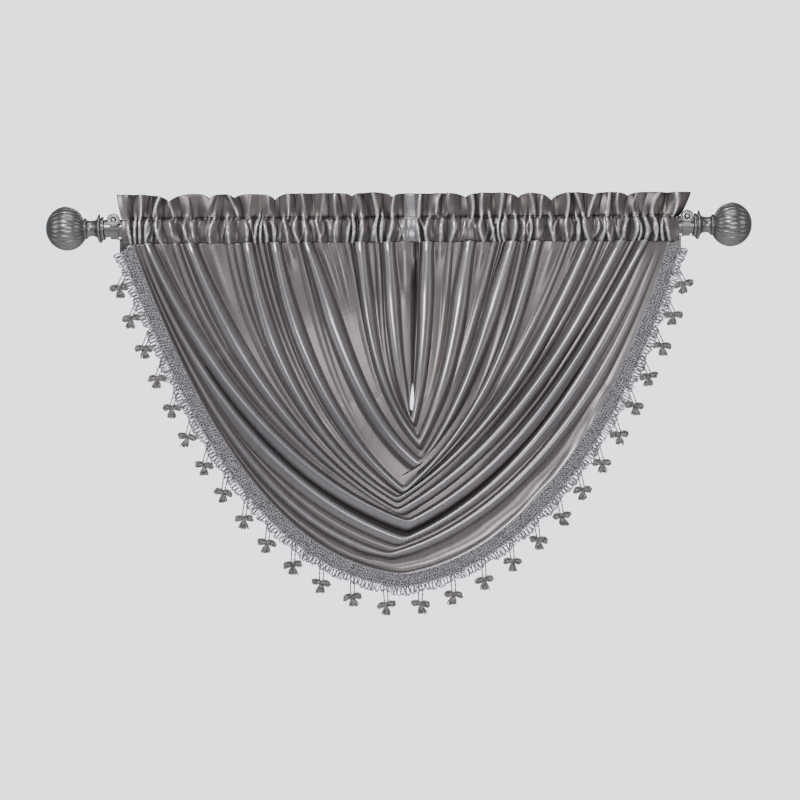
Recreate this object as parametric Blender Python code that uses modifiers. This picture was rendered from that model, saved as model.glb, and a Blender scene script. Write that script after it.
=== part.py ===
"""Waterfall valance on a curtain rod: a gathered satin swag with a rod pocket and a ruffled heading,
a looped braid with tassels along its hem, a steel rod, two fluted ball finials and two wall brackets.

Metres, +Z up, the front faces -Y. The origin lies on the wall, midway between the finials, level with
the rod's axis. Sizes in the tables are millimetres and degrees, and MM turns them into metres.
"""

import math

import bmesh
import bpy
from mathutils import Matrix, Vector

MM = 0.001

# Rod, and how far it stands off the wall
ROD_RADIUS = 14.3 * MM
ROD_WALL = 1.2 * MM
ROD_HALF_LENGTH = 469.5 * MM
ROD_SIDES = 24
ROD_Y = -85.0 * MM

# Cloth
CLOTH_THICKNESS = 2.0 * MM
SEAM_Z = -25.0 * MM
SEAM_Y = ROD_Y - 2.0 * MM
POCKET_RADIUS = 19.5 * MM
STITCH_Z = 19.5 * MM
HEADING_Z = 52.0 * MM
HEADING_Y = ROD_Y - 1.5 * MM
HEADING_FLARES = (0.7, 1.1)
END_FLARE_LEFT = 11.0 * MM
END_FLARE_RIGHT = 20.0 * MM
END_FLARE_SPAN = 45.0 * MM
POCKET_FRONT_ANGLES = (-50, 0, 50)
POCKET_BACK_ANGLES = (-130, -180, -230)
POCKET_GATHER = 0.6
POCKET_END_LEFT = -441.0 * MM
POCKET_END_RIGHT = 446.0 * MM
BELLY = 42.0 * MM
HEM_BELLY = 0.45
SLIT_BELLY = 0.6
TROUGH_AT = 0.62
TUCK = 0.2
BOTTOM_ROUNDING = 0.05
STEPS_ALONG_FOLD = 15
MID_LEG_RELIEF = 0.25
BELLY_PEAK = 1.1
TWO_BANDS = (0.0, TROUGH_AT)
THREE_BANDS = (0.0, 0.36, 0.72)
WELD_DISTANCE = 0.00005

# Dips in the top edge of the heading's ruffle
HEADING_DIP_COLUMNS = ("x", "depth", "half_width")
HEADING_DIPS = (
    (-365, 8, 9),
    (-301, 8, 6),
    (-262, 4, 6),
    (-197, 7, 6),
    (-74, 4, 5),
    (-10, 5, 4),
    (106, 6, 8),
    (190, 6, 6),
    (243, 11, 9),
    (310, 3, 6),
    (365, 4, 7),
)

# Open slit between the two halves of the swag, sewn shut above SLIT_TOP_Z
SLIT_TOP_X = 27.0 * MM
SLIT_BOTTOM_X = 19.0 * MM
SLIT_BOTTOM_Z = -294.0 * MM
SLIT_TOP_Z = -95.0 * MM
SLIT_HALF_GAP = 1.5 * MM
DROP_Z = -272.0 * MM
DROP_HALF_HEIGHT = 22.0 * MM
DROP_HALF_WIDTH = 6.0 * MM

# Each fold's crest runs from the seam on the left, down to its lowest point and up to the seam on the
# right. Lean is its angle off the vertical at the seam, run its angle off the level at the bottom.
# Relief is how far the crest stands out of the trough beside it, at the seam and at the bottom, and
# bands is the number of strips of faces between this crest and the next one out.
FOLD_COLUMNS = (
    "left_x", "left_lean", "left_run", "bottom_x", "bottom_z", "right_run", "right_lean", "right_x",
    "seam_relief", "bottom_relief", "bands",
)
FOLDS = (
    (-18, 4, 58, 17, -308, 62, 2, 45, 7, 12, 2),
    (-35, 6, 52, 24, -322, 62, 6, 82, 4, 2, 2),
    (-62, 4, 48, 30, -344, 64, 10, 112, 8, 14, 2),
    (-83, 13, 44, 31, -358, 58, 14, 152, 4, 2, 2),
    (-149, 21, 38, 31, -378, 52, 17, 181, 8, 15, 3),
    (-160, 12, 44, -2, -400, 24, 12, 198, 3, 9, 2),
    (-198, 9, 38, 7, -420, 42, 13, 219, 8, 12, 2),
    (-220, 10, 34, 0, -427, 36, 20, 269, 4, 2, 2),
    (-242, 9, 28, -6, -433, 30, 23, 302, 8, 12, 2),
    (-270, 8, 30, -4, -442, 32, 22, 322, 4, 3, 2),
    (-334, 20, 29, -5, -454, 28, 27, 354, 8, 13, 3),
    (-357, 15, 26, 6, -462, 27, 27, 374, 4, 2, 2),
    (-403, 23, 18, 14, -470, 26, 29, 392, 8, 13, 2),
    (-413, 18, 19, 6, -498, 22, 24, 408, 2, 12, 3),
    (-420, 20, 14, -22, -522, 14, 20, 421, 1, 11, 3),
    (-426, 20, 5, 3, -553, 8, 16, 430, 2, 5, 3),
)
LEFT = 0
RIGHT = 1

# Braid sewn along the hem, and the loops that stand out of its lower edge
BRAID_GAP = 1.0 * MM
BRAID_WIDTH = 20.0 * MM
BRAID_THICKNESS = 2.0 * MM
BRAID_START = 0.016
LOOP_SHORT = 11.0 * MM
LOOP_LONG = 18.0 * MM
LOOPS_PER_TASSEL = 4
TASSELS = 28
HEM_SAMPLES = 1200
HEM_SLOPE_STEP = 0.004

# Tassel: two cords, a bow, a neck and a short skirt
CORD_RADIUS = 1.0 * MM
CORD_SIDES = 4
CORD_SPREAD = 3.0 * MM
CORD_CLOSING = 0.6
CORD_END_HEIGHT = 2.0 * MM
NEARBY_STEP = 0.01
NEARBY_STEPS = 5
CORD_ROOT_INSET = 6.0 * MM
CORD_REACH = 30.0 * MM
CORD_OUTWARD = 1.0
CORD_CLEARANCE = 1.0 * MM
BOW_FORWARD = 5.0 * MM
TASSEL_SIDES = 6
TASSEL_RINGS = (
    # height above the bow's middle, half width, half depth
    (5.0, 5.0, 3.0),
    (1.0, 14.5, 4.5),
    (-3.5, 9.0, 3.5),
    (-6.5, 2.4, 2.4),
    (-13.0, 7.0, 5.0),
    (-20.0, 8.5, 5.5),
)

# Finial, turned about the rod's axis: distance out from the rod's end and radius
BALL_RADIUS = 35.2 * MM
BALL_CENTRE = 59.5 * MM
BALL_BANDS = 7
RIBS = 22
GROOVE_DEPTH = 1.8 * MM
NECK_SIDES = 20
NECK_PROFILE = (
    (-22.0, 12.3),
    (0.5, 12.3),
    (0.5, 18.6),
    (4.5, 18.8),
    (5.5, 22.6),
    (8.0, 23.4),
    (10.5, 22.4),
    (12.5, 16.0),
    (17.0, 12.9),
    (24.0, 12.5),
    (28.5, 14.2),
    (30.5, 16.8),
    (34.5, 16.8),
)

# Brackets and their screws
BRACKET_LEFT_X = -453.5 * MM
BRACKET_RIGHT_X = 458.0 * MM
CRADLE_WIDTH = 13.0 * MM
CRADLE_INNER = ROD_RADIUS + 0.5 * MM
CRADLE_OUTER = ROD_RADIUS + 3.7 * MM
CRADLE_FRONT_ANGLE = 66
CRADLE_BACK_ANGLE = -180
CRADLE_STEPS = 16
ARM_WIDTH = 10.4 * MM
ARM_HEIGHT = 6.0 * MM
ARM_Z = -10.0 * MM
PLATE_THICKNESS = 3.0 * MM
PLATE_TOP = 12.0 * MM
PLATE_BOTTOM = -33.0 * MM
SCREW_Z = 11.5 * MM
SCREW_HOLE_RADIUS = 2.8 * MM
SCREW_HOLE_SIDES = 12
SCREW_HOLE_MARGIN = 4.0 * MM
SCREW_SHANK_SIDES = 12
SCREW_SHANK_RADIUS = 2.4 * MM
SCREW_SHANK_BACK = 11.5 * MM
SCREW_HEAD_RADIUS = 9.3 * MM
SCREW_HEAD_THICKNESS = 5.0 * MM
SCREW_HEAD_BACK = 18.4 * MM
SCREW_KNURLS = 16
SCREW_KNURL_DEPTH = 0.9 * MM


def clear_scene():
    for item in list(bpy.data.objects):
        bpy.data.objects.remove(item, do_unlink=True)


def add_collection(name):
    collection = bpy.data.collections.new(name)
    bpy.context.scene.collection.children.link(collection)
    return collection


def add_material(name, colour, roughness, metallic):
    material = bpy.data.materials.new(name)
    material.use_nodes = True
    shader = material.node_tree.nodes["Principled BSDF"]
    shader.inputs["Base Color"].default_value = (*colour, 1.0)
    shader.inputs["Roughness"].default_value = roughness
    shader.inputs["Metallic"].default_value = metallic
    return material


def add_object(name, mesh, collection, material=None):
    item = bpy.data.objects.new(name, mesh)
    collection.objects.link(item)
    if material:
        mesh.materials.append(material)
    return item


def mesh_from_bmesh(name, shape):
    bmesh.ops.recalc_face_normals(shape, faces=shape.faces)
    mesh = bpy.data.meshes.new(name)
    shape.to_mesh(mesh)
    shape.free()
    return mesh


def join_with(base, other, operation="UNION"):
    """Leave a Boolean on base, with other kept hidden among the cutters."""
    other.hide_render = True
    other.display_type = "WIRE"
    boolean = base.modifiers.new(operation.title(), "BOOLEAN")
    boolean.operation = operation
    boolean.solver = "EXACT"
    boolean.object = other


def fold_row(index):
    return dict(zip(FOLD_COLUMNS, FOLDS[index]))


def bezier(points, t):
    u = 1.0 - t
    weights = (u ** 3, 3 * u * u * t, 3 * u * t * t, t ** 3)
    return sum((p * w for p, w in zip(points, weights)), Vector((0.0, 0.0)))


def slit_point(side, t):
    """Edge of the slit, as (x, z): t is 0 at the seam and 1 at the slit's lower end."""
    z = SEAM_Z + (SLIT_BOTTOM_Z - SEAM_Z) * t
    x = SLIT_TOP_X + (SLIT_BOTTOM_X - SLIT_TOP_X) * t
    if z > SLIT_TOP_Z:
        return Vector((x, z))
    drop = max(0.0, 1.0 - ((z - DROP_Z) / DROP_HALF_HEIGHT) ** 2)
    opening = SLIT_HALF_GAP if z > DROP_Z else SLIT_HALF_GAP * drop
    gap = max(opening, DROP_HALF_WIDTH * math.sqrt(drop))
    return Vector((x - gap if side == LEFT else x + gap, z))


def leg_point(fold, side, t):
    """One leg of a fold's crest, as (x, z), before its bottom is rounded."""
    inward = 1.0 if side == LEFT else -1.0
    key = "left" if side == LEFT else "right"
    start = Vector((fold[key + "_x"] * MM, SEAM_Z))
    end = Vector((fold["bottom_x"] * MM, fold["bottom_z"] * MM))
    handle = (end - start).length / 3.0
    lean = math.radians(fold[key + "_lean"])
    run = math.radians(fold[key + "_run"])
    first = start + handle * Vector((inward * math.sin(lean), -math.cos(lean)))
    last = end - handle * Vector((inward * math.cos(run), -math.sin(run)))
    return bezier((start, first, last, end), t)


def crest_point(index, side, t):
    """Crest line of a fold, as (x, z). Index -1 is the edge of the slit."""
    if index < 0:
        return slit_point(side, t)
    fold = fold_row(index)
    if t <= 1.0 - BOTTOM_ROUNDING:
        return leg_point(fold, side, t)
    here = leg_point(fold, side, 1.0 - BOTTOM_ROUNDING)
    across = leg_point(fold, 1 - side, 1.0 - BOTTOM_ROUNDING)
    corner = Vector((fold["bottom_x"] * MM, fold["bottom_z"] * MM))
    k = 0.5 * (t - 1.0 + BOTTOM_ROUNDING) / BOTTOM_ROUNDING
    return here * (1 - k) ** 2 + corner * 2 * k * (1 - k) + across * k * k


def crest_relief(index, t):
    """How far a crest stands out of the troughs beside it."""
    if index < 0:
        return 0.0
    fold = fold_row(index)
    along = fold["seam_relief"] + (fold["bottom_relief"] - fold["seam_relief"]) * t
    return along * MM * (1.0 + MID_LEG_RELIEF * math.sin(math.pi * t))


def ease(x):
    return 0.5 - 0.5 * math.cos(math.pi * min(1.0, max(0.0, x)))


def cloth_point(index, part, side, t):
    """Middle of the cloth between crest index and the next, part 0 to 1 of the way, t along the fold."""
    inner = crest_point(index, side, t)
    if part == 0.0:
        flat = inner
        relief = crest_relief(index, t)
    else:
        if part <= TROUGH_AT:
            fall = ease(part / TROUGH_AT)
            relief = crest_relief(index, t) * (1.0 - fall)
        else:
            fall = 1.0 - ease((part - TROUGH_AT) / (1.0 - TROUGH_AT))
            relief = crest_relief(index + 1, t) * (1.0 - fall)
        way = part + TUCK * t * t * fall
        flat = inner.lerp(crest_point(index + 1, side, t), way)
    out = (index + 1 + part) / len(FOLDS)
    swell = SLIT_BELLY + (1.0 - SLIT_BELLY) * math.sin(math.pi * min(1.0, out * BELLY_PEAK))
    swell = min(swell, 1.0) if out < 0.5 else HEM_BELLY + (1.0 - HEM_BELLY) * (1.0 - ease(2 * out - 1.0))
    forward = BELLY * swell * ease(t) + relief
    return Vector((flat.x, SEAM_Y - forward, flat.y))


def rows_out():
    """Rows of the swag's mesh, from the slit to the hem, as (fold index, part of the way out)."""
    rows = []
    for index in range(-1, len(FOLDS) - 1):
        bands = 2 if index < 0 else fold_row(index)["bands"]
        parts = TWO_BANDS if bands == len(TWO_BANDS) else THREE_BANDS
        rows.extend((index, part) for part in parts)
    rows.append((len(FOLDS) - 1, 0.0))
    return rows


def add_grid(shape, rows):
    """Faces between successive rows of vertices, all of one length."""
    for upper, lower in zip(rows, rows[1:]):
        for a, b, c, d in zip(upper, upper[1:], lower[1:], lower):
            corners = [v for n, v in enumerate((a, b, c, d)) if v not in (a, b, c, d)[:n]]
            if len(corners) > 2 and not shape.faces.get(corners):
                shape.faces.new(corners)


def crown_height(x):
    """Height of the heading's top edge, which dips between its ruffles."""
    height = HEADING_Z
    for row in HEADING_DIPS:
        dip = dict(zip(HEADING_DIP_COLUMNS, row))
        away = (x / MM - dip["x"]) / dip["half_width"]
        height -= dip["depth"] * MM * math.exp(-away * away)
    return height


def flared(x):
    """Sideways shift of the heading's top edge, which spreads at both ends of the rod."""
    end, flare = (POCKET_END_LEFT, -END_FLARE_LEFT) if x < 0.0 else (POCKET_END_RIGHT, END_FLARE_RIGHT)
    near_end = max(0.0, 1.0 - abs(end - x) / END_FLARE_SPAN)
    return flare * near_end * near_end


def build_cloth(collection, material):
    """Heading, rod pocket and swag in one piece of cloth. The pocket is a tunnel round the rod."""
    shape = bmesh.new()
    rows = rows_out()
    steps = [n / STEPS_ALONG_FOLD for n in range(STEPS_ALONG_FOLD + 1)]
    lines = []
    for index, part in rows:
        left = [shape.verts.new(cloth_point(index, part, LEFT, t)) for t in steps]
        right = [shape.verts.new(cloth_point(index, part, RIGHT, t)) for t in reversed(steps[:-1])]
        lines.append(left + right)
    add_grid(shape, lines)

    seam = [line[0] for line in reversed(lines)] + [line[-1] for line in lines[1:]]
    relief = [crest_relief_at_seam(index, part) for index, part in rows]
    relief = [0.0] + relief[:0:-1] + relief + [0.0]
    ends = [shape.verts.new((x, SEAM_Y, SEAM_Z)) for x in (POCKET_END_LEFT, POCKET_END_RIGHT)]
    seam = [ends[0]] + seam + [ends[1]]

    def ring(angle, gather):
        row = []
        for vert, bulge in zip(seam, relief):
            radius = POCKET_RADIUS + gather * bulge
            y = ROD_Y - radius * math.cos(math.radians(angle))
            row.append(shape.verts.new((vert.co.x, y, radius * math.sin(math.radians(angle)))))
        return row

    def level(share, flare):
        row = []
        for vert, bulge in zip(seam, relief):
            x = vert.co.x
            height = STITCH_Z + share * (crown_height(x) - STITCH_Z)
            row.append(shape.verts.new((x + share * flared(x), HEADING_Y - flare * bulge, height)))
        return row

    stitch = level(0.0, 0.0)
    front = [seam] + [ring(angle, POCKET_GATHER) for angle in POCKET_FRONT_ANGLES] + [stitch]
    back = [seam] + [ring(angle, 0.0) for angle in POCKET_BACK_ANGLES] + [stitch]
    heading = [stitch, level(0.5, HEADING_FLARES[0]), level(1.0, HEADING_FLARES[1])]
    for sheet in (front, back, heading):
        add_grid(shape, sheet)
    bmesh.ops.remove_doubles(shape, verts=shape.verts, dist=WELD_DISTANCE)
    cloth = add_object("valance_cloth", mesh_from_bmesh("valance_cloth", shape), collection, material)
    solidify = cloth.modifiers.new("Thickness", "SOLIDIFY")
    solidify.solidify_mode = "NON_MANIFOLD"
    solidify.nonmanifold_thickness_mode = "CONSTRAINTS"
    solidify.thickness = CLOTH_THICKNESS
    solidify.offset = 0.0
    return cloth


def crest_relief_at_seam(index, part):
    return SEAM_Y - cloth_point(index, part, LEFT, 0.0).y


def hem_point(t_signed, outward):
    """Point on the hem line, moved outward in the cloth's plane. t_signed runs -1 to 1, 0 at the bottom."""
    side = LEFT if t_signed <= 0.0 else RIGHT
    t = 1.0 - abs(t_signed)
    last = len(FOLDS) - 1
    here = cloth_point(last, 0.0, side, t)
    before = crest_point(last, side, min(1.0, t + HEM_SLOPE_STEP))
    after = crest_point(last, side, max(0.0, t - HEM_SLOPE_STEP))
    along = (after - before).normalized()
    if t > 1.0 - HEM_SLOPE_STEP:
        along = Vector((1.0, 0.0)) if side == RIGHT else Vector((-1.0, 0.0))
    normal = Vector((along.y, -along.x)) if side == RIGHT else Vector((-along.y, along.x))
    return here + outward * Vector((normal.x, 0.0, normal.y)), Vector((normal.x, 0.0, normal.y))


def even_hem_positions(count):
    """Positions along the hem that are evenly spaced on the braid's lower edge."""
    reach = 1.0 - BRAID_START
    samples = [-reach + 2.0 * reach * n / HEM_SAMPLES for n in range(HEM_SAMPLES + 1)]
    points = [hem_point(s, BRAID_WIDTH)[0] for s in samples]
    lengths = [0.0]
    for a, b in zip(points, points[1:]):
        lengths.append(lengths[-1] + (b - a).length)
    positions = []
    at = 0
    for n in range(count + 1):
        target = lengths[-1] * n / count
        while at < HEM_SAMPLES - 1 and lengths[at + 1] < target:
            at += 1
        span = lengths[at + 1] - lengths[at]
        part = (target - lengths[at]) / span
        positions.append(samples[at] + (samples[at + 1] - samples[at]) * min(1.0, part))
    return positions


def build_braid(collection, material):
    """Woven braid just outside the cloth's edge, with a row of loops along its lower edge."""
    shape = bmesh.new()
    per_tassel = 2 * LOOPS_PER_TASSEL
    positions = even_hem_positions(TASSELS * per_tassel)
    inner = [shape.verts.new(hem_point(s, BRAID_GAP)[0]) for s in positions]
    outer = [shape.verts.new(hem_point(s, BRAID_WIDTH)[0]) for s in positions]
    add_grid(shape, [inner, outer])
    for n in range(0, len(positions) - 1, 2):
        middle = 0.5 * (positions[n] + positions[n + 1])
        phase = (n + 1) / per_tassel
        scallop = abs(math.cos(math.pi * phase))
        length = LOOP_SHORT + (LOOP_LONG - LOOP_SHORT) * scallop
        tip = shape.verts.new(hem_point(middle, BRAID_WIDTH + length)[0])
        shape.faces.new((outer[n], outer[n + 1], tip))
    braid = add_object("trim_braid", mesh_from_bmesh("trim_braid", shape), collection, material)
    solidify = braid.modifiers.new("Thickness", "SOLIDIFY")
    solidify.thickness = BRAID_THICKNESS
    solidify.offset = 0.0
    return braid


def straight_bar(name, start, end, radius, sides, collection):
    """Closed straight bar between two points."""
    along = end - start
    turn = along.to_track_quat("Z", "Y").to_matrix().to_4x4()
    place = Matrix.Translation((start + end) * 0.5) @ turn
    shape = bmesh.new()
    bmesh.ops.create_cone(
        shape, cap_ends=True, segments=sides, radius1=radius, radius2=radius,
        depth=along.length, matrix=place,
    )
    return add_object(name, mesh_from_bmesh(name, shape), collection)


def build_tassel(number, positions, parts, cutters, material):
    """One tassel hanging from the braid, its bow and skirt plumb whatever way its cords lean."""
    here = positions[number * 2 + 1]
    root, normal = hem_point(here, BRAID_WIDTH - CORD_ROOT_INSET)
    nearby = [hem_point(here + NEARBY_STEP * n, 0.0)[0].y for n in range(-NEARBY_STEPS, NEARBY_STEPS + 1)]
    front = min(nearby) - 0.5 * BRAID_THICKNESS - CORD_CLEARANCE - CORD_RADIUS
    root.y = front
    direction = (CORD_OUTWARD * normal + Vector((0.0, 0.0, -1.0))).normalized()
    middle = root + direction * (CORD_REACH + CORD_ROOT_INSET) - Vector((0.0, BOW_FORWARD, 0.0))

    shape = bmesh.new()
    rings = []
    for height, half_width, half_depth in TASSEL_RINGS:
        ring = []
        for n in range(TASSEL_SIDES):
            angle = 2 * math.pi * n / TASSEL_SIDES
            offset = Vector((half_width * math.cos(angle), half_depth * math.sin(angle), height)) * MM
            ring.append(shape.verts.new(middle + offset))
        rings.append(ring)
    add_grid(shape, [ring + ring[:1] for ring in rings])
    shape.faces.new(rings[0])
    shape.faces.new(rings[-1])
    name = f"tassel_{number + 1:02d}"
    tassel = add_object(name, mesh_from_bmesh(name, shape), parts, material)

    along = Vector((normal.z, 0.0, -normal.x))
    for side in (-1.0, 1.0):
        start = root + side * CORD_SPREAD * along
        end = middle + side * CORD_CLOSING * CORD_SPREAD * along + Vector((0.0, 0.0, CORD_END_HEIGHT))
        cord_name = f"{name}_cord_{'a' if side < 0 else 'b'}"
        join_with(tassel, straight_bar(cord_name, start, end, CORD_RADIUS, CORD_SIDES, cutters))
    return tassel


def turned(name, profile, sides, collection, closed=False, material=None):
    """Shape turned about the X axis from (x, radius) pairs. An open profile starts and ends on the axis."""
    shape = bmesh.new()
    points = [shape.verts.new((x, 0.0, radius)) for x, radius in profile]
    for a, b in zip(points, points[1:] + points[:1] if closed else points[1:]):
        shape.edges.new((a, b))
    mesh = bpy.data.meshes.new(name)
    shape.to_mesh(mesh)
    shape.free()
    item = add_object(name, mesh, collection, material)
    screw = item.modifiers.new("Turned", "SCREW")
    screw.axis = "X"
    screw.steps = sides
    screw.render_steps = sides
    screw.use_merge_vertices = True
    screw.merge_threshold = WELD_DISTANCE
    return item


def build_rod(collection, material):
    """Plain steel tube, open at both ends for the finials' spigots."""
    inside = ROD_RADIUS - ROD_WALL
    profile = (
        (-ROD_HALF_LENGTH, ROD_RADIUS),
        (-ROD_HALF_LENGTH, inside),
        (ROD_HALF_LENGTH, inside),
        (ROD_HALF_LENGTH, ROD_RADIUS),
    )
    rod = turned("rod", profile, ROD_SIDES, collection, True, material)
    rod.location = (0.0, ROD_Y, 0.0)
    return rod


def build_finial(name, outward, parts, cutters, material):
    """Ribbed ball on a turned neck and collar, with a spigot that fits inside the rod."""
    ball = bmesh.new()
    to_x_axis = Matrix.Rotation(0.5 * math.pi, 4, "Y")
    bmesh.ops.create_uvsphere(
        ball, u_segments=2 * RIBS, v_segments=BALL_BANDS, radius=BALL_RADIUS, matrix=to_x_axis,
    )
    for vert in ball.verts:
        around = math.atan2(vert.co.z, vert.co.y) / (math.pi / RIBS)
        if round(around) % 2:
            from_axis = math.hypot(vert.co.y, vert.co.z) / BALL_RADIUS
            vert.co *= 1.0 - GROOVE_DEPTH * from_axis / BALL_RADIUS
    bmesh.ops.translate(ball, verts=ball.verts, vec=(BALL_CENTRE, 0.0, 0.0))
    finial = add_object(name, mesh_from_bmesh(name, ball), parts, material)

    rows = [(x * MM, radius * MM) for x, radius in NECK_PROFILE]
    profile = [(rows[-1][0], 0.0)] + rows[::-1] + [(rows[0][0], 0.0)]
    collar = turned(name + "_neck", profile, NECK_SIDES, cutters)
    place = Matrix.Translation((outward * ROD_HALF_LENGTH, ROD_Y, 0.0))
    turn = Matrix.Rotation(0.0 if outward > 0 else math.pi, 4, "Z")
    for item in (finial, collar):
        item.matrix_world = place @ turn
    join_with(finial, collar)
    return finial


def add_box(shape, low, high):
    box = bmesh.ops.create_cube(shape, size=1.0)
    size = Vector(high) - Vector(low)
    centre = (Vector(high) + Vector(low)) * 0.5
    for vert in box["verts"]:
        vert.co = Vector([c * s for c, s in zip(vert.co, size)]) + centre


def build_bracket(name, x, parts, cutters, material):
    """Wall plate, arm and an open cradle under the rod, with a hole for the screw."""
    cradle = bmesh.new()
    sections = []
    for n in range(CRADLE_STEPS + 1):
        sweep = CRADLE_BACK_ANGLE - CRADLE_FRONT_ANGLE
        angle = math.radians(CRADLE_FRONT_ANGLE + sweep * n / CRADLE_STEPS)
        section = []
        for radius, offset in (
            (CRADLE_INNER, -0.5), (CRADLE_INNER, 0.5), (CRADLE_OUTER, 0.5), (CRADLE_OUTER, -0.5),
        ):
            y = ROD_Y - radius * math.cos(angle)
            section.append(cradle.verts.new((x + offset * CRADLE_WIDTH, y, radius * math.sin(angle))))
        sections.append(section)
    add_grid(cradle, [section + section[:1] for section in sections])
    cradle.faces.new(sections[0])
    cradle.faces.new(sections[-1])
    bracket = add_object(name, mesh_from_bmesh(name, cradle), parts, material)

    half = 0.5 * CRADLE_WIDTH
    mounting = bmesh.new()
    add_box(mounting, (x - half, -PLATE_THICKNESS, PLATE_BOTTOM), (x + half, 0.0, PLATE_TOP))
    plate = add_object(name + "_plate", mesh_from_bmesh(name + "_plate", mounting), cutters)
    bar = bmesh.new()
    arm_front = ROD_Y + 0.5 * (CRADLE_INNER + CRADLE_OUTER)
    low = (x - 0.5 * ARM_WIDTH, arm_front, ARM_Z - 0.5 * ARM_HEIGHT)
    high = (x + 0.5 * ARM_WIDTH, -0.5 * PLATE_THICKNESS, ARM_Z + 0.5 * ARM_HEIGHT)
    add_box(bar, low, high)
    arm = add_object(name + "_arm", mesh_from_bmesh(name + "_arm", bar), cutters)
    join_with(bracket, arm)
    join_with(bracket, plate)

    hole_front = Vector((x, ROD_Y - CRADLE_OUTER - SCREW_HOLE_MARGIN, SCREW_Z))
    hole_back = Vector((x, ROD_Y - SCREW_SHANK_BACK + SCREW_HOLE_MARGIN, SCREW_Z))
    hole = straight_bar(name + "_hole", hole_front, hole_back, SCREW_HOLE_RADIUS, SCREW_HOLE_SIDES, cutters)
    join_with(bracket, hole, "DIFFERENCE")
    return bracket


def build_screw(name, x, parts, cutters, material):
    """Knurled thumb screw through the cradle's front, which keeps the rod from turning."""
    front = ROD_Y - SCREW_HEAD_BACK - SCREW_HEAD_THICKNESS
    middle = Vector((x, front + 0.5 * SCREW_HEAD_THICKNESS, SCREW_Z))
    facing_room = Matrix.Translation(middle) @ Matrix.Rotation(0.5 * math.pi, 4, "X")
    head = bmesh.new()
    bmesh.ops.create_cone(
        head, cap_ends=True, segments=2 * SCREW_KNURLS, radius1=SCREW_HEAD_RADIUS, radius2=SCREW_HEAD_RADIUS,
        depth=SCREW_HEAD_THICKNESS, matrix=facing_room,
    )
    for vert in head.verts:
        away = vert.co - middle
        around = math.atan2(away.z, away.x) / (math.pi / SCREW_KNURLS)
        if round(around) % 2:
            away.y = 0.0
            vert.co -= away.normalized() * SCREW_KNURL_DEPTH
    screw = add_object(name, mesh_from_bmesh(name, head), parts, material)
    shank_back = Vector((x, ROD_Y - SCREW_SHANK_BACK, SCREW_Z))
    shank = straight_bar(name + "_shank", middle, shank_back, SCREW_SHANK_RADIUS, SCREW_SHANK_SIDES, cutters)
    join_with(screw, shank)
    return screw


def build_valance():
    clear_scene()
    parts = add_collection("waterfall_valance")
    cutters = add_collection("cutters")
    satin = add_material("pewter_satin", (0.19, 0.16, 0.17), 0.38, 0.0)
    gimp = add_material("braid_yarn", (0.20, 0.19, 0.22), 0.75, 0.0)
    tassel_yarn = add_material("tassel_yarn", (0.19, 0.17, 0.17), 0.6, 0.0)
    pewter = add_material("pewter_metal", (0.17, 0.17, 0.16), 0.35, 0.9)
    bronze = add_material("bracket_metal", (0.10, 0.09, 0.08), 0.45, 0.8)
    chrome = add_material("screw_chrome", (0.75, 0.75, 0.75), 0.15, 1.0)

    build_cloth(parts, satin)
    build_braid(parts, gimp)
    positions = even_hem_positions(2 * TASSELS)
    for number in range(TASSELS):
        build_tassel(number, positions, parts, cutters, tassel_yarn)
    build_rod(parts, pewter)
    build_finial("finial_left", -1.0, parts, cutters, pewter)
    build_finial("finial_right", 1.0, parts, cutters, pewter)
    for side, x in (("left", BRACKET_LEFT_X), ("right", BRACKET_RIGHT_X)):
        build_bracket("bracket_" + side, x, parts, cutters, bronze)
        build_screw("screw_" + side, x, parts, cutters, chrome)


build_valance()
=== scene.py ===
"""Waterfall valance on a curtain rod, dressed for a studio picture.

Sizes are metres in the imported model's frame: +Z up, the front faces -Y, the wall plane is y = 0 and
the rod's axis is at z = 0. Tables of folds are millimetres and degrees, as in the model's own source.
"""

import math

import bpy
import numpy as np
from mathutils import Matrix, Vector


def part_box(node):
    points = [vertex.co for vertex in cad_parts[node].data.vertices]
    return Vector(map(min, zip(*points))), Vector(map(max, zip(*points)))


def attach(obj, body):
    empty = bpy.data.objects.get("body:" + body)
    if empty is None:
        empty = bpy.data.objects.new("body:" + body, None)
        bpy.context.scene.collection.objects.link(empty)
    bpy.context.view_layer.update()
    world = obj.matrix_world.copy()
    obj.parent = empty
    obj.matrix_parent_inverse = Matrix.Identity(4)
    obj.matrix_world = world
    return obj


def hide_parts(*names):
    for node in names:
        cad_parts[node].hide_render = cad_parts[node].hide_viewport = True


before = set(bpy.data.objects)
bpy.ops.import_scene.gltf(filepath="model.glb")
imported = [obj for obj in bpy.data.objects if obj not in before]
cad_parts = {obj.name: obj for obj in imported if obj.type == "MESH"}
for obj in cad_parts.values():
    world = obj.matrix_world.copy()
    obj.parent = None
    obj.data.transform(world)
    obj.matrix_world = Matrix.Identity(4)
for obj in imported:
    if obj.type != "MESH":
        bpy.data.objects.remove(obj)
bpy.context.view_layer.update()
MM = 0.001

# Curtain rod
# A plain steel tube of a standard width, plated a dull pewter. Nearly all of it is inside the
# cloth's pocket, and its open ends take the finials' spigots.
rod_low, rod_high = (Vector(corner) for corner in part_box("rod"))
ROD_RADIUS = (rod_high.z - rod_low.z) / 2
ROD_Y = (rod_high.y + rod_low.y) / 2
ROD_END = rod_high.x
TUBE_WALL = 1.2 * MM
TUBE_SIDES = 64
GRAIN_DEPTH = 0.01 * MM


def grid_faces(rows, columns, wrap=False):
    """Corner numbers of the quads over a grid of points. wrap joins the last column to the first."""
    row = np.arange(rows - 1)[:, None] * columns
    column = np.arange(columns if wrap else columns - 1)
    after = (column + 1) % columns
    corners = np.stack([row + column, row + after, row + columns + after, row + columns + column], axis=-1)
    return corners.reshape(-1, 4)


link = bpy.context.scene.collection.objects.link


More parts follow.
